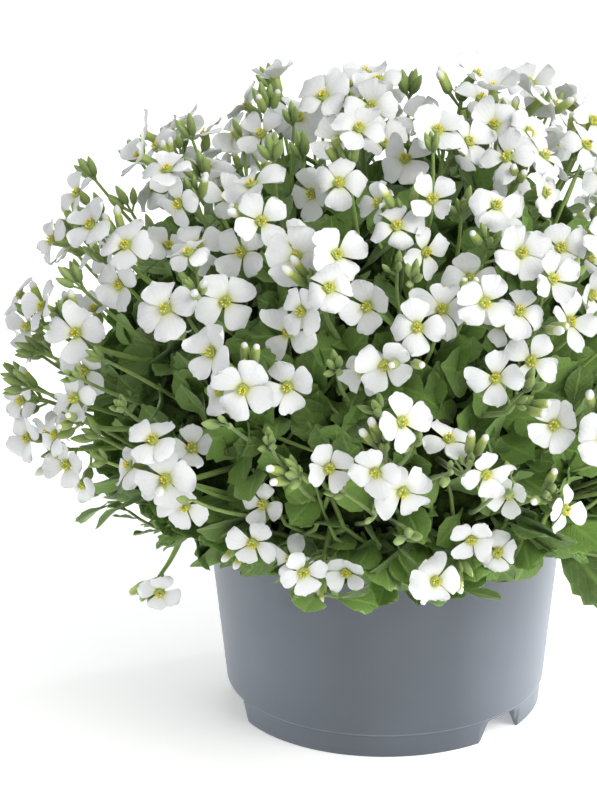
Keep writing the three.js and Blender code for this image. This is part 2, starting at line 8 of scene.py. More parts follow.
import bpy
import numpy as np
from bpy.props import FloatProperty, FloatVectorProperty, IntProperty, PointerProperty
from bpy.types import Operator, Panel, PropertyGroup
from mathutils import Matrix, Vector


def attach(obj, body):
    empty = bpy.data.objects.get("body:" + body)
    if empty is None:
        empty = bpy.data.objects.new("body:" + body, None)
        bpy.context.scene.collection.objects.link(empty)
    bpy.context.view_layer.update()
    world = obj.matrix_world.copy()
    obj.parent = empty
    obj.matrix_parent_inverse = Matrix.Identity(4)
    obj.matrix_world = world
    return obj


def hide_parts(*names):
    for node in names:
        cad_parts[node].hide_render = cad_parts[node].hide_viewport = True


bl_info = {
    "name": "Potted Aubrieta",
    "version": (1, 0, 0),
    "blender": (4, 5, 0),
    "location": "3D View > Sidebar > Aubrieta",
    "description": "Builds a white aubrieta in its nursery pot around the packed solids",
    "category": "Add Mesh",
}

MM = 0.001
GOLDEN_ANGLE = 137.5
UP = np.array([0.0, 0.0, 1.0])
# The first seed of each use. The large leaves' places are drawn as they are for the solid.
SEEDS = {
    "leaf places": 500, "soil": 900, "crumbs": 3000, "small leaf places": 6000,
    "creeping stems": 9000, "trails": 9500, "trail leaves": 9700, "large leaves": 40000,
    "hanging leaf": 41000, "small leaves": 50000, "tilts": 60000, "bends": 70000,
    "front petals": 71000, "back petals": 75000, "anthers": 81000, "calyces": 82000,
    "head buds": 83000, "opening buds": 84000, "stems": 85000, "stalks": 86000,
    "bud shoots": 87000, "shoot buds": 88000, "hairs": 90000,
}
DRAW_FACTOR = 16807
DRAW_RANGE = 2147483647

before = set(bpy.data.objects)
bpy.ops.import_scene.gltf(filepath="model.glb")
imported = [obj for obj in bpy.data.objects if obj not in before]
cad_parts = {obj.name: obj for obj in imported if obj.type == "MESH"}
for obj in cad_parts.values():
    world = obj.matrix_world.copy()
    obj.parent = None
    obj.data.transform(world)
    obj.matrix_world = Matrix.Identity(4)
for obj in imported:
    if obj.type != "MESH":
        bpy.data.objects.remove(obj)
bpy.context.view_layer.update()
HEADS = sorted(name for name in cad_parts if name.startswith("flower_head_"))
FRONT_HEADS = 38


# Vectors and random draws

def unit(vectors):
    """Each vector divided by its length."""
    return vectors / np.linalg.norm(vectors, axis=-1, keepdims=True)


def lerp(low, high, share):
    """The value a share of the way from low to high."""
    return low + (high - low) * share


def level_direction(azimuth):
    """The level unit vector of an azimuth in degrees: (sine, minus cosine, 0)."""
    turn = np.radians(azimuth)
    return np.stack([np.sin(turn), -np.cos(turn), np.zeros_like(turn)], -1)


def side_axes(direction):
    """Two unit vectors square to each direction and to each other."""
    steep = np.abs(direction[..., 2:]) >= 0.9
    helper = np.where(steep, np.array([0.0, 1.0, 0.0]), UP)
    first = unit(np.cross(helper, direction))
    return first, np.cross(direction, first)


def swung(first, second, angle):
    """The directions an angle on from first towards second: the cosine of the angle times first
    plus its sine times second."""
    return first * np.cos(angle)[..., None] + second * np.sin(angle)[..., None]


def spiral(count, low, high):
    """Azimuths and latitudes in degrees on a golden spiral: even steps of azimuth, and even
    steps between two sines of the latitude."""
    index = np.arange(count)
    sine = lerp(low, high, (index + 0.5) / count)
    return index * GOLDEN_ANGLE, np.degrees(np.arcsin(sine))


def seeded_draws(seeds, count):
    """Draws between 0 and 1, a row of count for each seed, each state a factor times the last."""
    state = 1000 + 7919 * np.asarray(seeds, np.int64)
    rows = []
    for _ in range(count + 2):
        state = state * DRAW_FACTOR % DRAW_RANGE
        rows.append(state / DRAW_RANGE)
    return np.stack(rows[2:], -1)


def draws_for(use, rows, count):
    """A row of count draws for each of a number of rows, from the seed of a named use."""
    return seeded_draws(SEEDS[use] + np.arange(rows), count)


# Meshes

SHARP_ANGLE = math.radians(75)


def new_piece(name, material, points, quads, tris=None, spot=None):
    """A mesh object on the body, smooth but for its sharp edges, with a vector attribute that
    patterns follow."""
    quads = np.asarray(quads, np.int32).reshape(-1, 4)
    tris = np.zeros((0, 3), np.int32) if tris is None else np.asarray(tris, np.int32)
    mesh = bpy.data.meshes.new(name)
    mesh.vertices.add(len(points))
    mesh.vertices.foreach_set("co", np.asarray(points, np.float32).ravel())
    corners = np.concatenate([quads.ravel(), tris.ravel()])
    starts = np.concatenate([4 * np.arange(len(quads)), 4 * len(quads) + 3 * np.arange(len(tris))])
    mesh.loops.add(len(corners))
    mesh.loops.foreach_set("vertex_index", corners)
    mesh.polygons.add(len(starts))
    mesh.polygons.foreach_set("loop_start", starts)
    mesh.update(calc_edges=True)
    if mesh.validate():
        raise RuntimeError(f"{name} had faces that do not make a mesh")
    mesh.polygons.foreach_set("use_smooth", np.full(len(starts), True))
    mesh.set_sharp_from_angle(angle=SHARP_ANGLE)
    if spot is not None:
        layer = mesh.attributes.new("spot", "FLOAT_VECTOR", "POINT")
        layer.data.foreach_set("vector", np.asarray(spot, np.float32).ravel())
    mesh.materials.append(material)
    piece = bpy.data.objects.new(name, mesh)
    bpy.context.scene.collection.objects.link(piece)
    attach(piece, "root")
    return piece


def grid_quads(grid):
    """Quads between the neighbouring points of an open grid (rows, columns)."""
    corners = [grid[:-1, :-1], grid[:-1, 1:], grid[1:, 1:], grid[1:, :-1]]
    return np.stack(corners, -1).reshape(-1, 4)


def blade_faces(rows, columns):
    """Quads of a closed blade: an upper and a lower grid that share their rim."""
    upper = np.arange(rows * columns).reshape(rows, columns)
    lower = upper.copy()
    inner = (rows - 2) * (columns - 2)
    lower[1:-1, 1:-1] = rows * columns + np.arange(inner).reshape(rows - 2, columns - 2)
    return np.concatenate([grid_quads(upper), grid_quads(lower)[:, ::-1]])


def blades(upper, drop, spot):
    """Points, quads, no triangles and spots of many closed blades from their upper grids (copies,
    rows, columns, 3). The lower face is the upper one moved by drop (copies, 3), apart from the
    rim, which both share."""
    copies, rows, columns, _ = upper.shape
    lower = upper[:, 1:-1, 1:-1] + drop[:, None, None]
    points = np.concatenate([upper.reshape(copies, -1, 3), lower.reshape(copies, -1, 3)], 1)
    spots = np.concatenate([spot.reshape(copies, -1, 3),
                            spot[:, 1:-1, 1:-1].reshape(copies, -1, 3)], 1)
    shift = points.shape[1] * np.arange(copies)[:, None, None]
    quads = blade_faces(rows, columns) + shift
    return points.reshape(-1, 3), quads.reshape(-1, 4), None, spots.reshape(-1, 3)


def ring_quads(grid):
    """Quads between rings of points (rings, sides) that close on themselves."""
    after = np.roll(grid, -1, axis=1)
    return np.stack([grid[:-1], after[:-1], after[1:], grid[1:]], -1).reshape(-1, 4)


def fan(ring, point):
    """Triangles that close a first ring on a point. A last ring goes in backwards."""
    return np.stack([np.full(len(ring), point), np.roll(ring, -1), ring], -1)


def end_caps(grid):
    """Fans that close the first and the last ring on the two points after the grid's own."""
    return np.concatenate([fan(grid[0], grid.size), fan(grid[-1, ::-1], grid.size + 1)])


def round_surface(points, low, high):
    """Points, quads and triangles of a surface (azimuths, steps, 3) that closes on itself. Its
    first and last steps close on a low and a high point."""
    count, steps, _ = points.shape
    grid = np.arange(count * steps).reshape(count, steps).T
    return np.concatenate([points.reshape(-1, 3), [low, high]]), ring_quads(grid), end_caps(grid)


def tubes(paths, radii, sides, tint, lobes=0.0, swirl=0.0):
    """Points, quads, triangles and spots of many closed tubes along their paths (copies, rings,
    3). A ring stands square to its path, at a radius that four lobes make larger and smaller as a
    cosine of the turn. The lobes turn by the swirl on the way along. Each end closes on its path's
    end point. Radii and tint may be one value for all."""
    copies, rings, _ = paths.shape
    radii = np.broadcast_to(radii, (copies, rings))
    along = unit(np.gradient(paths, axis=1))
    chord = unit(paths[:, -1] - paths[:, 0])
    helper = np.eye(3)[np.abs(chord).argmin(-1)][:, None]
    first = unit(helper - (helper * along).sum(-1, keepdims=True) * along)
    second = np.cross(along, first)
    turn = 2 * np.pi * np.arange(sides) / sides
    twist = swirl * np.linspace(0, 1, rings)[:, None]
    wave = 1 + np.broadcast_to(lobes, (rings,))[:, None] * np.cos(4 * (turn + twist))
    spoke = swung(first[:, :, None], second[:, :, None], turn)
    ring = paths[:, :, None] + radii[:, :, None, None] * wave[None, :, :, None] * spoke
    points = np.concatenate([ring.reshape(copies, -1, 3), paths[:, :1], paths[:, -1:]], 1)
    grid = np.arange(rings * sides).reshape(rings, sides)
    shift = points.shape[1] * np.arange(copies)[:, None, None]
    share = np.append(np.repeat(np.linspace(0, 1, rings), sides), [0, 1])
    spot = np.zeros((copies, len(share), 3))
    spot[..., 0] = share
    spot[..., 2] = np.reshape(tint, (-1, 1))
    return (points.reshape(-1, 3), (ring_quads(grid) + shift).reshape(-1, 4),
            (end_caps(grid) + shift).reshape(-1, 3), spot.reshape(-1, 3))


def joined(parts):
    """Several (points, quads, tris, spot) groups as one."""
    shifts = np.cumsum([0] + [len(part[0]) for part in parts[:-1]])
    return (np.concatenate([part[0] for part in parts]),
            np.concatenate([part[1] + shift for part, shift in zip(parts, shifts)]),
            np.concatenate([part[2] + shift for part, shift in zip(parts, shifts)]),
            np.concatenate([part[3] for part in parts]))


def tube_piece(name, parts, material):
    """One object of several groups of tubes."""
    return new_piece(name, material, *joined(parts))


def curve_at(start, middle, end, share):
    """Points at shares of the way on a quadratic curve from start to end that leans towards
    middle: the square of what is left, twice the product and the square of the share."""
    start, middle, end = (np.asarray(place)[..., None, :] for place in (start, middle, end))
    share = share[..., None]
    return (1 - share) ** 2 * start + 2 * share * (1 - share) * middle + share ** 2 * end


def curve_points(start, middle, end, count):
    """A number of evenly spaced points of the same curve."""
    return curve_at(start, middle, end, np.linspace(0, 1, count))


def line_points(start, way, distance):
    """Points at distances (copies, count) from each start along its way."""
    return start[:, None] + way[:, None] * distance[..., None]


def placed(origin, *steps):
    """Grids of points: each copy's origin, moved by amounts (copies, rows, columns) along its
    directions, which come as pairs."""
    points = origin[:, None, None]
    for amount, direction in steps:
        points = points + amount[..., None] * direction[:, None, None]
    return points


# Materials

def new_material(name, roughness, **finish):
    """A principled material. finish gives more of its shader's values by socket name, with
    underscores for blanks."""
    material = bpy.data.materials.new(name)
    material.use_nodes = True
    shader = material.node_tree.nodes["Principled BSDF"]
    shader.inputs["Roughness"].default_value = roughness
    for key, value in finish.items():
        shader.inputs[key.replace("_", " ")].default_value = value
    return material


def add_node(material, kind, inputs, **settings):
    """A node with its inputs, each a value or another node's output."""
    made = material.node_tree.nodes.new(kind)
    for key, value in settings.items():
        setattr(made, key, value)
    for key, value in inputs.items():
        if isinstance(value, bpy.types.NodeSocket):
            material.node_tree.links.new(value, made.inputs[key])
        else:
            made.inputs[key].default_value = value
    return made


def calculate(material, operation, first, second=0.0, third=0.0):
    """The output of one arithmetic node."""
    inputs = {0: first, 1: second, 2: third}
    return add_node(material, "ShaderNodeMath", inputs, operation=operation).outputs[0]


def spot_values(material):
    """The three values of the spot attribute: along, across and tint."""
    source = add_node(material, "ShaderNodeAttribute", {}, attribute_name="spot")
    parts = add_node(material, "ShaderNodeSeparateXYZ", {0: source.outputs["Vector"]})
    return parts.outputs[0], parts.outputs[1], parts.outputs[2]


def ramp(material, value, low, high):
    """0 where a value is below low, 1 above high, and smooth between."""
    inputs = {"Value": value, "From Min": low, "From Max": high}
    return add_node(material, "ShaderNodeMapRange", inputs,
                    interpolation_type="SMOOTHSTEP").outputs[0]


def noise(material, scale, detail=2.0):
    """A noise from 0 to 1 in object coordinates."""
    place = add_node(material, "ShaderNodeTexCoord", {}).outputs["Object"]
    inputs = {"Vector": place, "Scale": scale, "Detail": detail}
    return add_node(material, "ShaderNodeTexNoise", inputs).outputs[0]


def mix(material, factor, first, second):
    """A colour between two colours, each a colour or another node's output."""
    made = add_node(material, "ShaderNodeMix", {"Factor": factor}, data_type="RGBA")
    for index, value in ((6, first), (7, second)):
        if isinstance(value, bpy.types.NodeSocket):
            material.node_tree.links.new(value, made.inputs[index])
        else:
            made.inputs[index].default_value = (*value, 1)
    return made.outputs[2]


def finish_material(material, colour, height=None, distance=0.0001, strength=1.0):
    """Links a colour, and a height for the bump, to the shader."""
    shader = material.node_tree.nodes["Principled BSDF"]
    material.node_tree.links.new(colour, shader.inputs["Base Color"])
    if height is not None:
        inputs = {"Height": height, "Distance": distance, "Strength": strength}
        bump = add_node(material, "ShaderNodeBump", inputs)
        material.node_tree.links.new(bump.outputs[0], shader.inputs["Normal"])
    return material


def scaled(colour, factor):
    """A colour made darker or lighter."""
    return tuple(min(1.0, channel * factor) for channel in colour)


# Reading the solids

NOTCH_RADIUS = 3.8 * MM
NOTCH_DEPTH = 0.2 * MM
LEAST_REACH = 7.5 * MM
TIP_HEIGHT = 0.6 * MM
TIP_SHARE = 0.94
TIP_ANGLE = math.radians(28)
TIP_CORNERS = 8
THROAT_DEPTH = 2.6 * MM
THROAT_RADIUS = 1.2 * MM
THROAT_CORNERS = 3
STEM_RINGS = 5
READ_ERROR = 0.01 * MM
COSINE_ERROR = 0.003
SQUARE_ERROR = 0.01


def solid_corners(name):
    """Corners and triangles of a CAD node, with the corners at one place made one."""
    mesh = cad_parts[name].data
    places = np.empty(len(mesh.vertices) * 3, np.float32)
    mesh.vertices.foreach_get("co", places)
    loops = np.empty(len(mesh.loops), np.int32)
    mesh.loops.foreach_get("vertex_index", loops)
    corners, index = np.unique(places.reshape(-1, 3), axis=0, return_inverse=True)
    return corners.astype(float), index.ravel()[loops].reshape(-1, 3)


def read_flower(corners, notches, middle, one, other):
    """A flower from its notches' middle and its diagonals, and which corners are its own.

    The face is square to both diagonals, on the side of the petal tips. The tips stand 28 degrees
    beside a petal's axis, and the throat's corners on a ring behind the face."""
    face = unit(np.cross(one, other))
    axes = unit(np.stack([one + other, one - other]))
    offset = corners - middle
    height = offset @ face
    across = np.linalg.norm(offset - height[:, None] * face, axis=1)
    cosine = np.abs(offset @ axes.T).max(1) / np.maximum(across, MM)
    outer = (across > LEAST_REACH) & (np.abs(cosine - np.cos(TIP_ANGLE)) < COSINE_ERROR)
    above = outer & (np.abs(height - TIP_HEIGHT) < 2 * READ_ERROR)
    below = outer & (np.abs(height + TIP_HEIGHT) < 2 * READ_ERROR)
    if below.sum() > above.sum():
        face, above = -face, below
    above &= np.abs(across - np.median(across[above])) < 5 * READ_ERROR
    centre = middle + NOTCH_DEPTH * face
    behind = centre - THROAT_DEPTH * face
    throat = np.abs(np.linalg.norm(corners - behind, axis=1) - THROAT_RADIUS) < READ_ERROR
    if above.sum() != TIP_CORNERS or throat.sum() != THROAT_CORNERS:
        raise RuntimeError(f"a flower has {above.sum()} tips and {throat.sum()} throat corners")
    own = above | throat
    own[notches] = True
    return {"centre": centre, "face": face, "axis": axes[0], "throat": throat, "own": own,
            "radius": np.median(across[above]) / TIP_SHARE}


def read_head(name):
    """The stem and the flowers of a flower head's solid.

    A flower's four notches are a square's corners: two pairs lie a diagonal apart, share their
    middle and are square to each other. The corners that no flower owns are the stem's: the bud
    touches three of them, which are its top, and the rings below follow one after the other."""
    corners, triangles = solid_corners(name)
    gaps = np.linalg.norm(corners[:, None] - corners[None], axis=2)
    first, second = np.nonzero(np.triu(np.abs(gaps - 2 * NOTCH_RADIUS) < READ_ERROR))
    middles = (corners[first] + corners[second]) / 2
    spans = unit(corners[second] - corners[first])
    same = np.linalg.norm(middles[:, None] - middles[None], axis=2) < READ_ERROR
    pairs = np.argwhere(np.triu(same & (np.abs(spans @ spans.T) < SQUARE_ERROR), 1))
    flowers = [read_flower(corners, [first[one], second[one], first[other], second[other]],
                           middles[one], spans[one], spans[other]) for one, other in pairs]
    stem = ~np.any([flower["own"] for flower in flowers], axis=0)
    touch = np.zeros(gaps.shape, bool)
    for one, other in ((0, 1), (1, 2), (2, 0)):
        touch[triangles[:, one], triangles[:, other]] = True
        touch[triangles[:, other], triangles[:, one]] = True
    for flower in flowers:
        root = touch[flower["throat"]].any(0) & stem
        flower["root"] = corners[root].mean(0)
        flower["head"] = int(name[-2:]) - 1
    near = touch & stem & stem[:, None]
    ring = stem & (near.sum(1) == 3)
    seen = ring.copy()
    rings = [corners[ring].mean(0)]
    for _ in range(STEM_RINGS - 1):
        ring = near[ring].any(0) & ~seen
        seen |= ring
        if ring.sum() != 3:
            raise RuntimeError(f"{name} has a stem ring of {ring.sum()} corners")
        rings.append(corners[ring].mean(0))
    return np.array(rings), flowers


def read_heads():
    """All stems as (heads, rings, 3) from the bud down to the foot, and all flowers as arrays."""
    heads = [read_head(name) for name in HEADS]
    rows = [flower for _, flowers in heads for flower in flowers]
    keys = ("centre", "face", "axis", "radius", "root", "head")
    flowers = {key: np.array([row[key] for row in rows]) for key in keys}
    return np.array([rings for rings, _ in heads]), flowers


CORE_MIDDLE = 110 * MM
CORE_RADIUS = 90 * MM
CORE_RISE = 78 * MM
CORE_DROP = 27 * MM
CORE_FLATNESS = 0.35
LEAF_COUNT = 212
LEAF_TRIES = 16
LEAF_SINK = 6 * MM
LEAF_SPREAD = 0.8
UPPER_LATITUDE = -10
LEAF_WIDTH = 0.54
LEAF_FOLD = 0.3
LEAF_CORNERS = np.array([
    [0.42, 0.36], [0.64, 0.5], [0.75, 0.33], [1, 0], [0.75, -0.33], [0.64, -0.5], [0.42, -0.36]])


def core_point(azimuth, latitude, sunk):
    """The point of the dense middle: a dome whose underside is flatter than its top, because the
    drop goes as the sine of the latitude to the power of the flatness."""
    sine = np.sin(np.radians(latitude))
    rise = np.where(sine > 0, (CORE_RISE - sunk) * sine,
                    -(CORE_DROP - sunk) * np.abs(sine) ** CORE_FLATNESS)
    across = (CORE_RADIUS - sunk) * np.cos(np.radians(latitude))
    return level_direction(azimuth) * across[..., None] + UP * (CORE_MIDDLE + rise)[..., None]


def core_outward(place, latitude):
    """The direction out of the dense middle, as of an ellipsoid."""
    height = np.where(latitude > 0, CORE_RISE, CORE_DROP)
    scale = np.stack([np.full_like(height, CORE_RADIUS)] * 2 + [height], -1)
    return unit((place - UP * CORE_MIDDLE) / scale ** 2)


def leaf_frames(root, way, outward, length, twist=0.0):
    """Leaves as arrays: each points along its way with its face as far outward as it can turn,
    and is then twisted about its midrib."""
    width = unit(np.cross(way, outward))
    width = swung(width, np.cross(way, width), twist)
    return {"root": root, "way": way, "width": width, "face": unit(np.cross(width, way)),
            "length": length}


def leaf_set(azimuth, latitude, sunk, lean, stand, twist, length):
    """Leaves that stand on the dense middle: each leans by a turn round the way out of it."""
    root = core_point(azimuth, latitude, sunk)
    outward = core_outward(root, latitude)
    side = swung(*side_axes(outward), lean)
    way = unit(LEAF_SPREAD * side + stand[..., None] * outward)
    return leaf_frames(root, way, outward, length, twist)


def leaf_places(leaves, corners):
    """Points of the leaves at rows of (along, across): across is a share of the leaf's width, and
    both halves rise from the midrib by the fold."""
    along, across = corners[:, 0, None], corners[:, 1, None]
    length = leaves["length"][..., None, None]
    offset = across * length * LEAF_WIDTH
    return (leaves["root"][..., None, :] + along * length * leaves["way"][..., None, :]
            + offset * leaves["width"][..., None, :]
            + LEAF_FOLD * np.abs(offset) * leaves["face"][..., None, :])


def chosen(leaves, keep):
    """The leaves that a mask or an index picks."""
    return {key: values[keep] for key, values in leaves.items()}


def read_leaves():
    """The large leaves of the foliage solid.

    The same seeded tries are drawn as for the solid, and the try that was kept is the one whose
    corners are among the solid's."""
    draws = draws_for("leaf places", LEAF_COUNT, 6 * LEAF_TRIES)
    draws = draws.reshape(LEAF_COUNT, LEAF_TRIES, 6)
    azimuth, latitude = spiral(LEAF_COUNT, -0.75, 0.95)
    latitude = latitude[:, None] + 6 * (draws[..., 0] - 0.5)
    azimuth = azimuth[:, None] + 8 * (draws[..., 1] - 0.5)
    upper = latitude > UPPER_LATITUDE
    lean = np.pi / 2 + (draws[..., 2] - 0.5) * np.where(upper, 4.6, 2)
    stand = np.where(upper, lerp(0.6, 1.3, draws[..., 3]), lerp(0.9, 1.5, draws[..., 3]))
    leaves = leaf_set(azimuth, latitude, LEAF_SINK, lean, stand, 0.9 * (draws[..., 4] - 0.5),
                      lerp(23, 31, draws[..., 5]) * MM)
    places = leaf_places(leaves, LEAF_CORNERS)
    solid, _ = solid_corners("foliage")
    found = np.zeros((LEAF_COUNT, LEAF_TRIES), int)
    for attempt in range(LEAF_TRIES):
        points = places[:, attempt].reshape(-1, 3)
        squares = (points ** 2).sum(1)[:, None] + (solid ** 2).sum(1) - 2 * points @ solid.T
        close = squares.min(1) < (3 * READ_ERROR) ** 2
        found[:, attempt] = close.reshape(LEAF_COUNT, -1).sum(1)
    best = found.argmax(1)
    kept = found.max(1) >= 2
    leaves = chosen(leaves, (np.arange(LEAF_COUNT), best))
    return chosen(leaves, kept)


FLOWER_TILT = math.radians(24)


def tilted(flowers):
    """The flowers with their faces tilted a little, each its own way."""
    face, one = flowers["face"], flowers["axis"]
    draws = draws_for("tilts", len(face), 2)
    lean = swung(one, np.cross(face, one), 2 * np.pi * draws[:, 0])
    face = swung(face, lean, FLOWER_TILT * draws[:, 1])
    one = unit(one - (one * face).sum(1, keepdims=True) * face)
    return {**flowers, "face": face, "axis": one}


STEMS, FLOWERS = read_heads()
FLOWERS = tilted(FLOWERS)
LEAVES = read_leaves()


# Settings

class PotSettings(PropertyGroup):
    rim_radius: FloatProperty(
        name="Rim radius", description="Outer radius of the pot at its rim",
        default=65 * MM, unit="LENGTH", precision=4)
    height: FloatProperty(
        name="Height", description="Height of the pot",
        default=81 * MM, unit="LENGTH", precision=4)
    wall: FloatProperty(
        name="Wall", description="Thickness of the pot's wall",
        default=1.4 * MM, unit="LENGTH", precision=4)
    colour: FloatVectorProperty(
        name="Plastic", description="Colour of the pot", default=(0.083, 0.096, 0.116),
        subtype="COLOR")


class SoilSettings(PropertyGroup):
    crumbs: IntProperty(name="Crumbs", description="Number of loose crumbs", default=420)
    colour: FloatVectorProperty(
        name="Compost", description="Colour of the compost", default=(0.035, 0.022, 0.013),
        subtype="COLOR")


class LeafSettings(PropertyGroup):
    small_count: IntProperty(
        name="Small leaves", description="Number of tries for a small leaf", default=2100)
    trails: IntProperty(
        name="Trailing shoots", description="Number of leafy shoots that hang out", default=11)
    thickness: FloatProperty(
        name="Thickness", description="Thickness of a leaf",
        default=0.45 * MM, unit="LENGTH", precision=5)
    colour: FloatVectorProperty(
        name="Leaf", description="Colour of the leaves", default=(0.115, 0.2, 0.038),
        subtype="COLOR")
    stem_colour: FloatVectorProperty(
        name="Stem", description="Colour of stems and stalks", default=(0.18, 0.265, 0.06),
        subtype="COLOR")


class FlowerSettings(PropertyGroup):
    shoots: IntProperty(
        name="Bud shoots", description="Number of tries for a shoot with buds", default=190)
    petal_thickness: FloatProperty(
        name="Petal thickness", description="Thickness of a petal",
        default=0.3 * MM, unit="LENGTH", precision=5)
    stem_radius: FloatProperty(
        name="Stem radius", description="Radius of a flower head's stem",
        default=0.85 * MM, unit="LENGTH", precision=5)
    stalk_radius: FloatProperty(
        name="Stalk radius", description="Radius of a flower's stalk",
        default=0.45 * MM, unit="LENGTH", precision=5)
    calyx_length: FloatProperty(
        name="Calyx length", description="Length of the green tube behind a flower",
        default=7.5 * MM, unit="LENGTH", precision=4)
    petal_colour: FloatVectorProperty(
        name="Petal", description="Colour of the petals", default=(0.675, 0.69, 0.69),
        subtype="COLOR")
    throat_colour: FloatVectorProperty(
        name="Throat", description="Colour of the flowers' throats", default=(0.57, 0.56, 0.07),
        subtype="COLOR")
    anther_colour: FloatVectorProperty(
        name="Anther", description="Colour of the anthers", default=(0.72, 0.6, 0.06),
        subtype="COLOR")
    calyx_colour: FloatVectorProperty(
        name="Calyx", description="Colour of the calyces at their mouth",
        default=(0.32, 0.4, 0.09), subtype="COLOR")
    bud_colour: FloatVectorProperty(
        name="Bud", description="Colour of buds and of the calyces at their foot",
        default=(0.165, 0.23, 0.062), subtype="COLOR")


class StageSettings(PropertyGroup):
    camera_distance: FloatProperty(
        name="Camera distance", description="From the camera to the middle of the plant",
        default=1.0, unit="LENGTH")
    camera_pitch: FloatProperty(
        name="Camera pitch", description="How far the camera looks down",
        default=math.radians(18.87), unit="ROTATION")
    focal_length: FloatProperty(
        name="Focal length", description="Focal length in millimetres", default=126.4,
        unit="CAMERA")
    floor_colour: FloatVectorProperty(
        name="Floor", description="Colour of the floor", default=(0.97, 0.97, 0.97),
        subtype="COLOR")


# Pot

FOOT_RADIUS = 56.6 * MM
FOOT_HEIGHT = 8.2 * MM
LOWER_RADIUS = 58.1 * MM
LOWER_HEIGHT = 11 * MM
FLOOR_TOP = 10.2 * MM
FLOOR_UNDERSIDE = 8.6 * MM
MIDDLE_HOLE = 0.5 * MM
NOTCH_HEIGHT = 8 * MM
NOTCH_SLANT = 4.4 * MM
NOTCHES = ((46.5, 21), (-76.5, 33), (170, 21))


def foot_bottom(azimuth):
    """Height of the foot ring's lower edge: 0, rising along each notch's slanted ends."""
    height = np.zeros_like(azimuth)
    for middle, width in NOTCHES:
        apart = np.abs((azimuth - middle + 180) % 360 - 180)
        inside = np.radians(width / 2 - apart) * FOOT_RADIUS
        height = np.maximum(height, NOTCH_HEIGHT * np.clip(inside / NOTCH_SLANT, 0, 1))
    return height


def wall_radius(height, settings):
    """Outer radius of the pot's wall: even growth from the lower edge to the rim."""
    share = (height - LOWER_HEIGHT) / (settings.height - LOWER_HEIGHT)
    return lerp(LOWER_RADIUS, settings.rim_radius, share)


def rounded(centre, radius, start, end, count=5):
    """Points of an arc in a profile, as (radius, height), between two angles in degrees."""
    angle = np.radians(np.linspace(start, end, count))
    return np.stack([centre[0] + radius * np.cos(angle), centre[1] + radius * np.sin(angle)], -1)


def pot_profile(settings):
    """The pot's closed section from the floor's underside, round the foot, up the wall, over the
    rounded rim and down inside to the middle of the floor."""
    rim, top, wall = settings.rim_radius, settings.height, settings.wall
    inner = wall_radius(FLOOR_TOP, settings) - wall
    foot_inner = FOOT_RADIUS - wall
    edge = 0.55 * wall
    up = np.linspace(LOWER_HEIGHT, top - edge, 12)
    down = np.linspace(top - edge, FLOOR_TOP + 2 * MM, 12)
    return np.concatenate([
        [[MIDDLE_HOLE, FLOOR_UNDERSIDE], [20 * MM, FLOOR_UNDERSIDE], [40 * MM, FLOOR_UNDERSIDE],
         [foot_inner - 0.6 * MM, FLOOR_UNDERSIDE], [foot_inner, FLOOR_UNDERSIDE - 0.6 * MM]],
        [[foot_inner, 0.4 * MM], [foot_inner + 0.3 * MM, 0]],
        [[FOOT_RADIUS - 0.3 * MM, 0], [FOOT_RADIUS, 0.4 * MM]],
        [[FOOT_RADIUS + 0.5 * MM, FOOT_HEIGHT - 0.3 * MM], [FOOT_RADIUS + 0.45 * MM, FOOT_HEIGHT]],
        [[LOWER_RADIUS - 0.9 * MM, FOOT_HEIGHT + 0.15 * MM],
         [LOWER_RADIUS - 0.4 * MM, FOOT_HEIGHT + 0.5 * MM],
         [LOWER_RADIUS - 0.12 * MM, FOOT_HEIGHT + 1.2 * MM]],
        np.stack([wall_radius(up, settings), up], -1),
        rounded((rim - edge, top - edge), edge, 15, 165),
        np.stack([wall_radius(down, settings) - wall, down], -1),
        [[inner - 0.6 * MM, FLOOR_TOP + 0.6 * MM], [inner - 2 * MM, FLOOR_TOP],
         [30 * MM, FLOOR_TOP], [MIDDLE_HOLE, FLOOR_TOP]],
    ])


def turned_surface(profile, azimuths, bottom=None):
    """A closed profile of (radius, height) carried round the pot's axis, with its first and last
    points joined by caps. bottom lifts what lies under it, for the notches."""
    height = np.repeat(profile[None, :, 1], len(azimuths), 0)
    if bottom is not None:
        foot = (profile[:, 0] > FOOT_RADIUS - 3 * MM) & (profile[:, 1] < FOOT_HEIGHT)
        height = np.where(foot, np.maximum(height, bottom[:, None]), height)
    points = level_direction(azimuths)[:, None] * profile[:, :1] + UP * height[..., None]
    return round_surface(points, UP * profile[0, 1], UP * profile[-1, 1])


def plastic(settings):
    """Satin moulded plastic: a faint cloudiness, a fine moulded grain, and a painted highlight: a
    thin pale line on the edge above the foot, broken by noise, where that edge would catch light."""
    material = new_material("satin_plastic", 0.38, Specular_IOR_Level=0.5)
    cloud = ramp(material, noise(material, 28.0, 4.0), 0.35, 0.7)
    colour = mix(material, cloud, scaled(settings.colour, 0.95), scaled(settings.colour, 1.05))
    speck = ramp(material, noise(material, 900.0, 3.0), 0.66, 0.78)
    speck = calculate(material, "MULTIPLY", speck, 0.35)
    colour = mix(material, speck, colour, scaled(settings.colour, 0.7))
    # Painted highlight: a thin pale line, broken by noise, on the rounded edge just above the
    # foot.
    place = add_node(material, "ShaderNodeTexCoord", {}).outputs["Object"]
    height = add_node(material, "ShaderNodeSeparateXYZ", {0: place}).outputs[2]
    above = calculate(material, "SUBTRACT", height, FOOT_HEIGHT + 0.5 * MM)
    edge_highlight = calculate(material, "SUBTRACT", 1.0,
                     ramp(material, calculate(material, "ABSOLUTE", above), 0.15 * MM, 0.6 * MM))
    edge_highlight = calculate(material, "MULTIPLY", edge_highlight, ramp(material, noise(material, 55.0), 0.25, 0.6))
    colour = mix(material, edge_highlight, colour, scaled(settings.colour, 1.9))
    return finish_material(material, colour, noise(material, 1600.0, 2.0), 0.00006, 0.35)


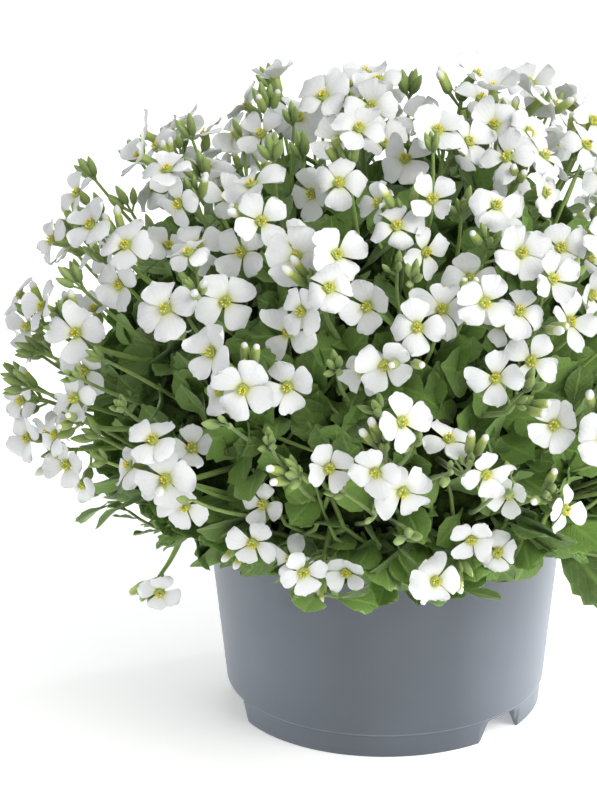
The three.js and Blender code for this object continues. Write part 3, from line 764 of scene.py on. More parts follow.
class POT_OT_plant_pot(Operator):
    """Turns the nursery pot, with its foot ring and drain notches"""
    bl_idname = "aubrieta.pot"
    bl_label = "Pot"

    def execute(self, context):
        settings = context.scene.pot_settings
        azimuths = np.linspace(0, 360, 361)[:-1]
        surface = turned_surface(pot_profile(settings), azimuths, foot_bottom(azimuths))
        piece = new_piece("nursery_pot", plastic(settings), *surface)
        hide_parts("pot")
        return {"FINISHED"}


# Soil

SOIL_BOTTOM = 10.5 * MM
SOIL_EDGE = 73 * MM
SOIL_MIDDLE = 76 * MM
SOIL_GAP = 0.4 * MM
SOIL_WAVES = 40
CRUMB_STEPS = np.array([-0.8, -0.45, 0.1, 0.5, 0.85])
CRUMB_RADII = np.array([0.3, 0.75, 0.8, 0.7, 0.25])


def soil_height(across, azimuth, radius):
    """Height of the soil: a low crown with hollows and crumbs from a sum of waves."""
    x = across * np.sin(np.radians(azimuth))
    y = across * np.cos(np.radians(azimuth))
    draws = draws_for("soil", SOIL_WAVES, 3)
    turn = 2 * np.pi * draws[:, 0]
    pitch = lerp(120, 1400, draws[:, 1] ** 2)
    phase = 2 * np.pi * draws[:, 2]
    wave = np.sin((x[..., None] * np.cos(turn) + y[..., None] * np.sin(turn)) * pitch + phase)
    rough = (wave * (60 / pitch)).sum(-1) * 0.9 * MM
    return lerp(SOIL_MIDDLE, SOIL_EDGE, across / radius) + np.clip(rough, -1.6 * MM, 1.6 * MM)


def compost(settings):
    """Dark crumbly compost with pale grains."""
    material = new_material("compost", 0.92, Specular_IOR_Level=0.2)
    grain = noise(material, 420.0, 6.0)
    colour = mix(material, ramp(material, grain, 0.35, 0.65), scaled(settings.colour, 0.5),
                 scaled(settings.colour, 1.9))
    pale = ramp(material, noise(material, 1100.0, 2.0), 0.7, 0.76)
    colour = mix(material, pale, colour, (0.16, 0.12, 0.08))
    return finish_material(material, colour, grain, 0.0012, 1.0)


class SOIL_OT_compost(Operator):
    """Fills the pot with crumbly compost"""
    bl_idname = "aubrieta.soil"
    bl_label = "Compost"

    def execute(self, context):
        settings = context.scene.soil_settings
        pot = context.scene.pot_settings
        material = compost(settings)
        azimuths = np.linspace(0, 360, 181)[:-1]
        edge = wall_radius(SOIL_EDGE, pot) - pot.wall - SOIL_GAP
        low = wall_radius(SOIL_BOTTOM, pot) - pot.wall - SOIL_GAP - 1.5 * MM
        rings = np.linspace(edge, 1.5 * MM, 46)
        under = [[MIDDLE_HOLE, SOIL_BOTTOM], [low, SOIL_BOTTOM],
                 [low + 1.3 * MM, SOIL_BOTTOM + 1.5 * MM]]
        profile = np.concatenate([under, np.stack([rings, np.full_like(rings, SOIL_EDGE)], -1)])
        points, quads, tris = turned_surface(profile, azimuths)
        grid = points[:-2].reshape(len(azimuths), len(profile), 3)
        grid[:, len(under):, 2] = soil_height(rings[None], azimuths[:, None], edge)
        points[-1, 2] = SOIL_MIDDLE
        piece = new_piece("compost", material, points, quads, tris)
        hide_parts("soil")
        self.add_crumbs(settings, material, edge)
        return {"FINISHED"}

    def add_crumbs(self, settings, material, edge):
        """Loose crumbs: short lumps with a few sides, lying half sunk."""
        draws = draws_for("crumbs", settings.crumbs, 7)
        across = (edge - 3 * MM) * np.sqrt(lerp(0.12, 1, draws[:, 0]))
        azimuth = 360 * draws[:, 1]
        size = lerp(0.7, 2.6, draws[:, 2] ** 2) * MM
        middle = level_direction(azimuth) * across[:, None]
        middle[:, 2] = soil_height(across, azimuth, edge) + 0.2 * size
        way = unit(draws[:, 3:6] - 0.5)
        paths = line_points(middle, way, size[:, None] * CRUMB_STEPS)
        part = tubes(paths, size[:, None] * CRUMB_RADII, 6, draws[:, 6])
        tube_piece("compost_crumbs", [part], material)


# Leaves

# A blade's rows along, half widths, teeth and columns across.
LARGE_BLADE = (
    np.array([0, 0.12, 0.24, 0.34, 0.44, 0.54, 0.62, 0.68, 0.76, 0.82, 0.91, 1.0]),
    np.array([0.05, 0.06, 0.13, 0.28, 0.41, 0.49, 0.52, 0.53, 0.49, 0.44, 0.32, 0.13]),
    np.array([0, 0, 0, 0, 0.01, -0.03, 0.03, -0.07, 0.03, -0.07, 0.02, 0]),
    np.linspace(-1, 1, 7))
SMALL_BLADE = (
    np.array([0, 0.24, 0.4, 0.57, 0.68, 0.8, 0.92, 1.0]),
    np.array([0.06, 0.13, 0.36, 0.53, 0.58, 0.53, 0.38, 0.15]),
    np.array([0, 0, 0, 0.03, -0.06, 0.03, -0.02, 0]),
    np.linspace(-1, 1, 4))
FOLD_ROUNDING = 0.6 * MM
ROOM_BLOCK = 200
TOP_CLEARANCE = 0.5 * MM
RIM_CLEARANCE = 1.5 * MM
CREEPING_STEMS = 170
TRAIL_LATITUDE = -38.0
TRAIL_POINTS = 13
TRAIL_LEAF_POINTS = np.array([5, 7, 8, 9, 10, 11, 12])
CROWN_RADIUS = 2.9 * MM
CROWN_SPREAD = 30 * MM


def leaf_mesh(leaves, form, thickness, seeds):
    """Closed leaves. The half width along the midrib follows the form's widths, to which each
    leaf adds its own share of the teeth. The halves rise from the midrib, the tip is rounded and
    curls down with the cube of the way along, and each blade is waved across by a slow sine with
    its own phase."""
    rows, widths, teeth = (row[:, None] for row in form[:3])
    columns = form[3]
    draws = seeded_draws(seeds, 5)[:, :, None, None]
    along = (rows - 0.06 * columns ** 2 * rows ** 9)[None]
    across = columns * (widths + lerp(0.1, 1.1, draws[:, 4]) * teeth)
    across = across * lerp(0.85, 1.12, draws[:, 0])
    length = leaves["length"][:, None, None]
    offset = across * length * LEAF_WIDTH
    depth = LEAF_FOLD * (np.sqrt(offset ** 2 + FOLD_ROUNDING ** 2) - FOLD_ROUNDING)
    depth = depth * lerp(0.5, 1.2, draws[:, 1])
    depth = depth - length * lerp(0.02, 0.16, draws[:, 2]) * along ** 3
    phase = 2 * np.pi * draws[:, 3]
    depth = depth + 0.55 * MM * np.sin(7 * along + 2 * across + phase) * np.abs(across) * 2
    upper = placed(leaves["root"], (along * length, leaves["way"]), (offset, leaves["width"]),
                   (depth, leaves["face"]))
    spot = np.stack(np.broadcast_arrays(along, columns, draws[:, 0]), -1)
    return blades(upper, -thickness * leaves["face"], spot)


def leaf_green(name, colour):
    """Leaf: a paler midrib and side veins, leaf to leaf changes of green, mottling and a fine
    down that gives a dull sheen."""
    material = new_material(name, 0.55, Specular_IOR_Level=0.35, Sheen_Weight=0.12,
                            Sheen_Roughness=0.5, Subsurface_Weight=0.15, Subsurface_Scale=0.001,
                            Subsurface_Radius=(0.6, 1, 0.3))
    along, across, tint = spot_values(material)
    dark, light = scaled(colour, 0.62), scaled(colour, 1.45)
    base = mix(material, tint, dark, light)
    mottle = ramp(material, noise(material, 260.0, 4.0), 0.4, 0.7)
    base = mix(material, calculate(material, "MULTIPLY", mottle, 0.4), base, scaled(colour, 1.3))
    side = calculate(material, "ABSOLUTE", across)
    rib = calculate(material, "SUBTRACT", 1.0, ramp(material, side, 0.02, 0.16))
    slant = calculate(material, "MULTIPLY_ADD", side, -0.32, along)
    wave = calculate(material, "SINE", calculate(material, "MULTIPLY", slant, 52.0))
    vein = calculate(material, "MULTIPLY", ramp(material, wave, 0.72, 1.0), 0.4)
    line = calculate(material, "MAXIMUM", rib, vein)
    colour = mix(material, calculate(material, "MULTIPLY", line, 0.42), base,
                 scaled(colour, 2.0))
    height = calculate(material, "MULTIPLY_ADD", line, -0.8, noise(material, 900.0, 3.0))
    return finish_material(material, colour, height, 0.00035, 0.8)


def stem_green(name, colour, tip=None):
    """Stem, stalk, bud or calyx: mottled, with fine bumps of down, and tip's colour at its end."""
    material = new_material(name, 0.5, Specular_IOR_Level=0.35, Sheen_Weight=0.2,
                            Subsurface_Weight=0.1, Subsurface_Scale=0.001,
                            Subsurface_Radius=(0.6, 1, 0.3))
    along, _, tint = spot_values(material)
    base = mix(material, tint, scaled(colour, 0.7), scaled(colour, 1.25))
    if tip is not None:
        base = mix(material, ramp(material, along, 0.15, 0.95), base, tip)
    mottle = ramp(material, noise(material, 380.0, 3.0), 0.35, 0.75)
    base = mix(material, calculate(material, "MULTIPLY", mottle, 0.35), base, scaled(colour, 1.6))
    return finish_material(material, base, noise(material, 1500.0, 2.0), 0.0002, 0.6)


def flower_room(points):
    """The least distance from each leaf's points (leaves, points, 3) to any open flower, as to a
    flat disc with a shallow cone behind it."""
    room = np.full(len(points), 1.0)
    for start in range(0, len(points), ROOM_BLOCK):
        block = points[start:start + ROOM_BLOCK]
        offset = block[:, :, None] - FLOWERS["centre"]
        height = (offset * FLOWERS["face"]).sum(-1)
        across = np.sqrt(np.maximum((offset ** 2).sum(-1) - height ** 2, 0))
        cone = THROAT_DEPTH * np.maximum(0, 1 - across / FLOWERS["radius"])
        gap = np.where(height > 0, height, np.maximum(0, -height - cone))
        beside = np.maximum(0, across - FLOWERS["radius"])
        room[start:start + ROOM_BLOCK] = np.hypot(gap, beside).min((1, 2))
    return room


def pot_room(points, pot):
    """Whether each leaf's points are all clear of the pot."""
    above = points[..., 2] > pot.height + TOP_CLEARANCE
    beside = np.hypot(points[..., 0], points[..., 1]) > pot.rim_radius + RIM_CLEARANCE
    return (above | beside).all(-1)


def with_room(leaves, least, pot):
    """The leaves that stay a least distance from every open flower, and clear of the pot."""
    samples = leaf_places(leaves, LEAF_CORNERS)
    return chosen(leaves, (flower_room(samples) > least) & pot_room(samples, pot))


def small_leaves(settings, pot):
    """Small leaves on a golden spiral over the dense middle, where flowers and pot leave room."""
    draws = draws_for("small leaf places", settings.small_count, 7)
    azimuth, latitude = spiral(settings.small_count, -0.97, 0.96)
    latitude = latitude + 6 * (draws[:, 0] - 0.5)
    azimuth = azimuth + 10 * (draws[:, 1] - 0.5)
    upper = latitude > UPPER_LATITUDE
    lean = np.pi / 2 + (draws[:, 2] - 0.5) * np.where(upper, 5.6, 2.6)
    stand = lerp(0.35, 1.5, draws[:, 3])
    sunk = lerp(-3, 7, draws[:, 5]) * MM
    leaves = leaf_set(azimuth, latitude, sunk, lean, stand, 1.3 * (draws[:, 4] - 0.5),
                      lerp(13, 21, draws[:, 6]) * MM)
    return with_room(leaves, 0.8 * MM, pot)


def painted_shade_core(settings):
    """Painted shade between the leaves: the dense middle, drawn in and made uneven by waves, in a
    patchy dark green that stands for the shadow deep in the foliage.
    """
    azimuths = np.linspace(0, 360, 97)[:-1]
    turn, tilt = np.meshgrid(azimuths, np.linspace(-88, 88, 49), indexing="ij")
    sunk = (5 + 2.2 * np.sin(np.radians(turn * 7 + tilt * 5)) * np.cos(np.radians(tilt * 6))) * MM
    points = core_point(turn, tilt, sunk)
    surface = round_surface(points, points[:, 0].mean(0), points[:, -1].mean(0))
    # Painted shade: a patchy green at 0.12 to 0.5 of the leaf green, darker than any leaf.
    material = new_material("painted_leaf_shade", 0.8, Specular_IOR_Level=0.1)
    patch = ramp(material, noise(material, 150.0, 5.0), 0.4, 0.65)
    colour = mix(material, patch, scaled(settings.colour, 0.12), scaled(settings.colour, 0.5))
    finish_material(material, colour, noise(material, 300.0, 4.0), 0.003, 1.0)
    return new_piece("painted_shade_heart", material, *surface)


def creeping_stems(pot):
    """Leafy stems that run out over the dense middle: a path of even latitude steps, lifted a
    little, and thinner towards its tip."""
    draws = draws_for("creeping stems", CREEPING_STEMS, 6)
    share = np.linspace(0, 1, 8)
    latitude = lerp(-50, 60, draws[:, :1]) + lerp(-35, 35, draws[:, 1:2]) * share
    azimuth = 360 * draws[:, 2:3] + lerp(-26, 26, draws[:, 3:4]) * share
    sunk = lerp(1.5, -5, draws[:, 4:5]) + 1.5 * np.sin(5 * share)
    paths = core_point(azimuth, latitude, sunk * MM)
    radii = lerp(0.95, 0.55, share) * MM * lerp(0.8, 1.2, draws[:, 5:])
    keep = pot_room(paths, pot)
    return tubes(paths[keep], radii[keep], 6, draws[keep, 5])


def joined_leaves(groups):
    """Several groups of leaves as one."""
    return {key: np.concatenate([group[key] for group in groups]) for key in groups[0]}


def trailing_shoots(count, pot):
    """Leafy shoots that hang out from under the flowers all round: curves that leave the dense
    middle near its lower edge, dip beside the rim and end further out, with leaves to the left
    and right in turn. Returns their paths and leaves."""
    draws = draws_for("trails", count, 6)
    azimuth = -58 + np.arange(count) * 360 / count + 22 * (draws[:, 0] - 0.5)
    start = core_point(azimuth, np.full(count, TRAIL_LATITUDE), 8 * MM)
    dip = level_direction(azimuth) * lerp(80, 88, draws[:, 1:2]) * MM
    dip = dip + UP * lerp(66, 78, draws[:, 2:3]) * MM
    swing = azimuth + 40 * (draws[:, 3] - 0.5)
    end = level_direction(swing) * lerp(94, 114, draws[:, 4:5]) * MM
    end = end + UP * lerp(60, 84, draws[:, 5:]) * MM
    paths = curve_points(start, dip, end, TRAIL_POINTS)
    root = paths[:, TRAIL_LEAF_POINTS].reshape(-1, 3)
    along = unit(np.gradient(paths, axis=1))[:, TRAIL_LEAF_POINTS].reshape(-1, 3)
    number = len(TRAIL_LEAF_POINTS)
    left = np.tile(np.where(np.arange(number) % 2, 1.0, -1.0), count)[:, None]
    left[number - 1::number] = 0
    draws = draws_for("trail leaves", count * number, 3)
    side = unit(np.cross(UP, along))
    way = unit(0.75 * along + left * 0.8 * side + UP * lerp(-0.45, 0.3, draws[:, :1]))
    outward = unit(UP + 0.6 * along + 0.5 * (draws[:, 1:2] - 0.5) * side)
    leaves = leaf_frames(root, way, outward, lerp(9, 17, draws[:, 2]) * MM)
    return paths, with_room(leaves, 0.6 * MM, pot)


def hanging_leaf():
    """The large leaf that hangs over the rim at the front right."""
    outward = level_direction(np.array([20.0])) + 0.2 * UP
    way = unit(np.array([[0.66, -0.3, -0.68]]))
    return leaf_frames(np.array([[55, -45, 84]]) * MM, way, outward, np.array([40 * MM]))


def crown_stems():
    """The short stems between soil and leaves, which stand in the soil's holes."""
    around = level_direction(np.arange(6) * 60.0)
    place = np.concatenate([np.zeros((1, 3)), around * CROWN_SPREAD])
    height = np.linspace(59.5, 96, 6) * MM
    return tubes(place[:, None] + UP * height[:, None], CROWN_RADIUS, 10, 0.2)


class LEAF_OT_foliage(Operator):
    """Grows the leaves, the creeping stems and the dark middle between them, coloured as painted
    shade
    """
    bl_idname = "aubrieta.foliage"
    bl_label = "Foliage"

    def execute(self, context):
        settings = context.scene.leaf_settings
        pot = context.scene.pot_settings
        green = leaf_green("leaf", settings.colour)
        trails, trail_leaves = trailing_shoots(settings.trails, pot)
        seeds = SEEDS["large leaves"] + np.arange(len(LEAVES["length"]))
        large = leaf_mesh(joined_leaves([LEAVES, hanging_leaf()]), LARGE_BLADE,
                          settings.thickness, np.append(seeds, SEEDS["hanging leaf"]))
        piece = new_piece("large_leaves", green, *large)
        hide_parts("foliage")
        small = joined_leaves([small_leaves(settings, pot), trail_leaves])
        for number in (1, 2):
            part = np.arange(number - 1, len(small["length"]), 2)
            made = leaf_mesh(chosen(small, part), SMALL_BLADE, settings.thickness,
                             SEEDS["small leaves"] + part)
            new_piece(f"small_leaves_{number}", green, *made)
        # The dense middle, in a dark green that is painted shade.
        painted_shade_core(settings)
        trailing = tubes(trails, np.linspace(1.0, 0.5, TRAIL_POINTS) * MM, 7, 0.4)
        stems = tube_piece("creeping_stems", [creeping_stems(pot), trailing, crown_stems()],
                           stem_green("stem", settings.stem_colour))
        return {"FINISHED"}


# Flowers

PETAL_ROWS = np.array([0, 0.13, 0.27, 0.43, 0.6, 0.77, 0.91, 1.0])
PETAL_WIDTHS = np.array([0.09, 0.2, 0.33, 0.44, 0.505, 0.505, 0.44, 0.3])
PETAL_COLUMNS = np.array([-1, -0.66, -0.33, 0, 0.33, 0.66, 1])
PETAL_START = 0.9 * MM
PETAL_SINK = 2.2 * MM
PETAL_STEP = 0.22 * MM
PETAL_SWAY = math.radians(18)
SIZE_SEED_STEP = 3000
FLAT_SHARE = 0.58
HANGING_SHARE = 0.87
ANTHERS = 6
STALK_POINTS = 9
STALK_END = 2.2 * MM
STALK_BEND = 0.42
CALYX_MOUTH = 0.9 * MM
CALYX_RADII = np.array([0.55, 1.25, 1.6, 1.7, 1.62, 1.5, 1.42, 1.4, 1.5, 1.75]) * MM
CALYX_LOBES = np.array([0, 0.04, 0.08, 0.1, 0.1, 0.1, 0.1, 0.12, 0.14, 0.18])
HAIRS = 5000


def flower_bends(count):
    """How far each flower's petals bend back, in radians: most lie almost flat, some hang and a
    few are still cupped."""
    kind, share = draws_for("bends", count, 2).T
    flat = lerp(-0.15, 0.5, share)
    hanging = lerp(0.5, 1.15, share)
    cupped = lerp(-0.85, -0.35, share)
    return np.where(kind < FLAT_SHARE, flat, np.where(kind < HANGING_SHARE, hanging, cupped))


def petal_mesh(flowers, bends, thickness, seed):
    """Closed petals, four to a flower. A petal's half width follows the rows of widths and its
    end is rounded by drawing the sides in with the square of the way across. Its midline is an
    arc that starts in the throat and turns by the bend. What lifts it off that arc stands square
    to it: a cupping by the square of the way across, a twist, waves at the rim, and a step that
    keeps two petals above the other two."""
    petal = np.arange(len(bends) * 4)
    flower, quarter = petal // 4, petal % 4
    draws = seeded_draws(seed + petal, 10)[:, :, None, None]
    centre, face, axis = (flowers[key][flower] for key in ("centre", "face", "axis"))
    turn = np.radians(quarter * 90) + PETAL_SWAY * (draws[:, 0, 0, 0] - 0.5)
    way = swung(axis, np.cross(face, axis), turn)
    side = np.cross(way, face)
    size = lerp(0.86, 1.06, seeded_draws(seed + SIZE_SEED_STEP + flower, 1)[:, 0])
    size = size * np.interp(centre[:, 2], [100 * MM, 160 * MM], [0.9, 1.05])
    reach = (size * flowers["radius"][flower])[:, None, None] * lerp(0.94, 1.06, draws[:, 1])
    along = PETAL_ROWS[None, :, None]
    across = PETAL_COLUMNS[None, None]
    half = reach * PETAL_WIDTHS[None, :, None] * lerp(0.74, 1.06, draws[:, 2])
    notch = lerp(0, 0.09, draws[:, 3]) * np.exp(-(across / 0.35) ** 2) * along ** 8
    run = along - 0.17 * across ** 2 * along ** 3 - notch
    bend = bends[flower][:, None, None] + 0.85 * (draws[:, 4] - 0.5)
    angle = bend * run
    outward = PETAL_START + (reach - PETAL_START) * run * np.sinc(angle / np.pi)
    fall = (reach - PETAL_START) * run * np.sin(angle / 2) * np.sinc(angle / 2 / np.pi)
    cup = 0.15 * np.clip(-bends[flower] - 0.4, 0, None)[:, None, None]
    curl = (cup + lerp(-0.14, 0.16, draws[:, 5])) * across ** 2 * along
    twist = lerp(-0.24, 0.24, draws[:, 6]) * across * along
    phase = 2 * np.pi * draws[:, 7]
    ripple = 0.07 * along ** 2 * np.abs(across) * np.sin(5 * across + 4 * along + phase)
    frill = 0.03 * along ** 4 * np.sin(8 * across + 2 * phase)
    step = PETAL_STEP * (1 - 2 * (quarter % 2))[:, None, None] * along
    lift = reach * (curl + twist + ripple + frill) + step
    outward = outward + lift * np.sin(angle)
    height = lift * np.cos(angle) - fall - PETAL_SINK * (1 - along) ** 3
    sweep = half * across + lerp(-0.12, 0.12, draws[:, 8]) * reach * along ** 2
    upper = placed(centre, (outward, way), (sweep, side), (height, face))
    spot = np.stack(np.broadcast_arrays(along, across, draws[:, 9]), -1)
    return blades(upper, -thickness * face, spot)


def petal_white(settings):
    """Petal: white with faint radiating veins, a yellow-green claw and a soft glow."""
    material = new_material("petal", 0.5, Specular_IOR_Level=0.3, Sheen_Weight=0.1,
                            Subsurface_Weight=0.25, Subsurface_Scale=0.0012,
                            Subsurface_Radius=(1, 1, 0.95))
    along, across, tint = spot_values(material)
    white = settings.petal_colour
    base = mix(material, tint, scaled(white, 0.93), scaled(white, 1.05))
    fan = calculate(material, "MULTIPLY_ADD", across, 19.0, noise(material, 300.0))
    vein = ramp(material, calculate(material, "COSINE", fan), 0.5, 1.0)
    shade = calculate(material, "MULTIPLY", vein, 0.035)
    base = mix(material, shade, base, (0.5, 0.54, 0.56))
    glow = calculate(material, "SUBTRACT", 1.0, ramp(material, along, 0.05, 0.42))
    glow = calculate(material, "MULTIPLY", glow, 0.32)
    base = mix(material, glow, base, settings.throat_colour)
    claw = calculate(material, "SUBTRACT", 1.0, ramp(material, along, 0.02, 0.17))
    colour = mix(material, claw, base, settings.throat_colour)
    height = calculate(material, "MULTIPLY_ADD", vein, -0.15, noise(material, 350.0, 3.0))
    return finish_material(material, colour, height, 0.0003, 0.7)


def plain_material(name, colour, scale, roughness=0.6):
    """A small piece's colour with a fine mottling and bumps."""
    material = new_material(name, roughness, Subsurface_Weight=0.1, Subsurface_Scale=0.0008,
                            Subsurface_Radius=(1, 1, 0.8))
    patch = ramp(material, noise(material, scale, 3.0), 0.3, 0.7)
    base = mix(material, patch, scaled(colour, 0.8), scaled(colour, 1.2))
    return finish_material(material, base, noise(material, 3 * scale, 2.0), 0.0001, 0.6)


def beads(middle, way, half_length, radius, sides, tint):
    """Small closed ellipsoids: a tube whose radius follows a half circle."""
    turn = np.radians(np.array([-60, 0, 60]))
    paths = line_points(middle, way, np.sin(turn) * half_length)
    return tubes(paths, np.cos(turn) * radius, sides, tint)


def flower_centres():
    """A green cup in each throat, six anthers round it and the stigma in its middle."""
    centre, face, axis = FLOWERS["centre"], FLOWERS["face"], FLOWERS["axis"]
    index = np.repeat(np.arange(len(centre)), ANTHERS)
    draws = draws_for("anthers", len(index), 3)
    turn = np.radians(np.tile(np.arange(ANTHERS) * 60.0, len(centre))) + 0.6 * draws[:, 0]
    spoke = swung(axis[index], np.cross(face, axis)[index], turn)
    place = (centre[index] + spoke * lerp(0.75, 1.2, draws[:, 1:2]) * MM
             + face[index] * lerp(-0.9, 0.3, draws[:, 2:]) * MM)
    anthers = beads(place, unit(face[index] + 0.5 * spoke), 0.7 * MM, 0.36 * MM, 5, draws[:, 0])
    pads = beads(centre - 1.9 * MM * face, face, 1.1 * MM, 1.7 * MM, 8, 0.5)
    stigma = beads(centre - 0.7 * MM * face, face, 0.8 * MM, 0.42 * MM, 5, 0.5)
    return anthers, pads, stigma


def stalk_paths(share):
    """Points at shares of the way on each flower's stalk: a curve from the stem that ends along
    the flower's axis."""
    centre, face, root = FLOWERS["centre"], FLOWERS["face"], FLOWERS["root"]
    end = centre - STALK_END * face
    bend = end - face * STALK_BEND * np.linalg.norm(end - root, axis=1, keepdims=True)
    return curve_at(root, bend, end, share)


def calyx_parts(settings):
    """Calyx: four sepals that make a tube along the stalk's end. It swells at once, narrows to
    its mouth, and its lobed rim spreads a little."""
    share = np.linspace(0, 1, STALK_POINTS)
    length = np.linalg.norm(np.diff(stalk_paths(share), axis=1), axis=2).sum(1)
    first = np.clip(1 - settings.calyx_length / length, 0.25, 0.8)[:, None]
    mouth = FLOWERS["centre"] - CALYX_MOUTH * FLOWERS["face"]
    tube = np.concatenate([stalk_paths(first + (1 - first) * share), mouth[:, None]], 1)
    tint = draws_for("calyces", len(tube), 1)
    return tubes(tube, CALYX_RADII, 12, tint, CALYX_LOBES)


BUD_ROOM = 1.3 * MM
BUD_STEPS = np.array([0, 0.12, 0.34, 0.62, 0.86, 1.0])
BUD_SHAPE = np.array([0.4, 0.8, 1.0, 0.88, 0.5, 0.14])
BUD_LOBES = np.array([0, 0.03, 0.07, 0.08, 0.06, 0])
BUD_SLIMNESS = 0.19
OPENING_ROOM = 2.2 * MM
OPENING_STEPS = np.array([0, 0.1, 0.3, 0.6, 0.85, 1.0])
OPENING_RADII = np.array([0.5, 1.15, 1.5, 1.45, 1.35, 1.3]) * MM
FURLED_STEPS = np.array([-0.15, 0.06, 0.22, 0.38, 0.54, 0.69, 0.81, 0.9, 0.96, 1.0])
FURLED_RADII = np.array([1.0, 1.15, 1.28, 1.34, 1.3, 1.12, 0.86, 0.6, 0.35, 0.1]) * MM
FURLED_LOBES = np.array([0, 0.02, 0.04, 0.05, 0.06, 0.06, 0.06, 0.05, 0.03, 0])
FURLED_SWIRL = 0.9
FURLED_GLOW = 0.5


def bud_cluster(tops, axis, number, reach, use):
    """Clusters of oval green buds on short stalks, spread round each cluster's axis by the golden
    angle. reach gives the shortest and longest bud."""
    first, second = side_axes(axis)
    index = np.repeat(np.arange(len(axis)), number)
    draws = draws_for(use, len(index), 5)
    order = np.tile(np.arange(number), len(axis))
    side = swung(first[index], second[index], np.radians(order * GOLDEN_ANGLE) + draws[:, 0])
    way = unit(swung(axis[index], side, lerp(0.0, 0.75, order / number) + 0.3 * draws[:, 1]))
    start = tops[index]
    stalk = lerp(0.6, 4.4, draws[:, 2:3]) * MM
    size = lerp(*reach, draws[:, 3:4])
    ahead = unit(way + 0.4 * axis[index])
    paths = line_points(start + way * stalk, ahead, size * BUD_STEPS)
    keep = flower_room(paths) > BUD_ROOM
    buds = tubes(paths[keep], BUD_SHAPE * size[keep] * BUD_SLIMNESS, 8, draws[keep, 4], BUD_LOBES)
    stalks = line_points(start, way, stalk * np.array([0, 0.5, 1.1]))
    return buds, tubes(stalks[keep], 0.4 * MM, 5, draws[keep, 4])


def opening_buds():
    """Opening buds beside each head's tip, on the sides with the most room: a calyx on a short
    stalk, with the furled petals as a four-lobed bulb that comes out of it. Returns the calyces,
    the bulbs and the stalks."""
    tops, middles = STEMS[:, 1], STEMS[:, 2]
    axis = unit(STEMS[:, 0] - tops)
    first, second = side_axes(axis)
    side = swung(first[:, None], second[:, None], np.radians(np.arange(12) * 30.0))
    way = unit(side * 0.8 + axis[:, None] * 0.75)
    root = lerp(middles, tops, 0.7)[:, None]
    ends = root + way * 15 * MM
    room = flower_room(ends.reshape(-1, 1, 3)).reshape(ends.shape[:2])
    best = np.argsort(-room, axis=1)[:, :2]
    pick = np.arange(len(axis))[:, None]
    clear = (room[pick, best] > OPENING_ROOM).ravel()
    way = way[pick, best].reshape(-1, 3)[clear]
    axis = np.repeat(axis, 2, 0)[clear]
    root = np.repeat(root[:, 0], 2, 0)[clear]
    draws = draws_for("opening buds", len(clear), 5)[clear]
    size = lerp(5.5, 7.5, draws[:, :1]) * MM
    neck = root + way * lerp(4, 7, draws[:, 1:2]) * MM
    ahead = unit(way + 0.35 * axis)
    tube = line_points(neck, ahead, size * OPENING_STEPS)
    calyces = tubes(tube, OPENING_RADII, 10, draws[:, 2], 0.1)
    openness = draws[:, 3:4] ** 1.5
    bulb = line_points(neck, ahead, size + lerp(1.2, 5.0, openness) * MM * FURLED_STEPS)
    lean = 0.5 * MM * draws[:, 4:] * FURLED_STEPS ** 2
    bulb = bulb + side_axes(ahead)[0][:, None] * lean[..., None]
    radii = lerp(0.75, 1.15, openness) * FURLED_RADII
    bulbs = tubes(bulb, radii, 16, draws[:, 4], FURLED_LOBES, FURLED_SWIRL)
    bulbs[3][:, 0] *= FURLED_GLOW
    stalks = curve_points(root, lerp(root, neck, 0.5), neck, 4)
    return calyces, bulbs, tubes(stalks, 0.45 * MM, 5, draws[:, 2])


DOME_MIDDLE = 128 * MM
DOME_RADIUS = 128 * MM
DOME_RISE = 98 * MM
DOME_DROP = 50 * MM
SHOOT_ROOM = 1.6 * MM


def bud_shoots(count):
    """Thin shoots that end in a cluster of buds. Each rises from the dense middle to just under
    the dome that the flowers make, on a golden spiral, where its tip has room."""
    draws = draws_for("bud shoots", count, 5)
    azimuth, latitude = spiral(count, -0.35, 0.97)
    azimuth = azimuth + 25 * draws[:, 0]
    turn = np.radians(latitude)
    rise = np.where(latitude > 0, DOME_RISE, DOME_DROP)
    sunk = lerp(15, -3, draws[:, 1]) * MM
    tip = (level_direction(azimuth) * ((DOME_RADIUS - sunk) * np.cos(turn))[:, None]
           + UP * (DOME_MIDDLE + (rise - sunk) * np.sin(turn))[:, None])
    foot = core_point(azimuth + 14 * (draws[:, 2] - 0.5), latitude * 0.9, 6 * MM)
    middle = lerp(foot, tip, 0.55) + UP * lerp(-6, 2, draws[:, 3:4]) * MM
    middle = middle + level_direction(azimuth + 90) * lerp(-6, 6, draws[:, 4:5]) * MM
    paths = curve_points(foot, middle, tip, 9)
    keep = flower_room(paths[:, 5:]) > SHOOT_ROOM
    paths = paths[keep]
    stems = tubes(paths, np.linspace(0.85, 0.55, 9) * MM, 7, draws[keep, 4])
    axis = unit(paths[:, -1] - paths[:, -2])
    return stems, *bud_cluster(paths[:, -1], axis, 5, (5.2 * MM, 8.6 * MM), "shoot buds")


def stem_parts(settings):
    """Each head's stem from its foot to its bud, rounded at the neck and thinner at the tip."""
    bud, top, middle, neck, foot = (STEMS[:, ring] for ring in range(5))
    below = lerp(neck, foot, 0.25)
    above = lerp(neck, middle, 0.5)
    sunk = foot + unit(foot - neck) * 5 * MM
    lower = curve_points(sunk, lerp(foot, below, 0.5), below, 5)
    bend = curve_points(below, neck, above, 6)[:, 1:]
    upper = curve_points(above, lerp(above, top, 0.5), top, 4)[:, 1:]
    end = lerp(top, bud, 0.4)[:, None]
    paths = np.concatenate([lower, bend, upper, end], 1)
    radii = settings.stem_radius * np.linspace(1.3, 0.75, paths.shape[1])
    radii[-1] *= 0.4
    return tubes(paths, radii, 8, draws_for("stems", len(paths), 1))


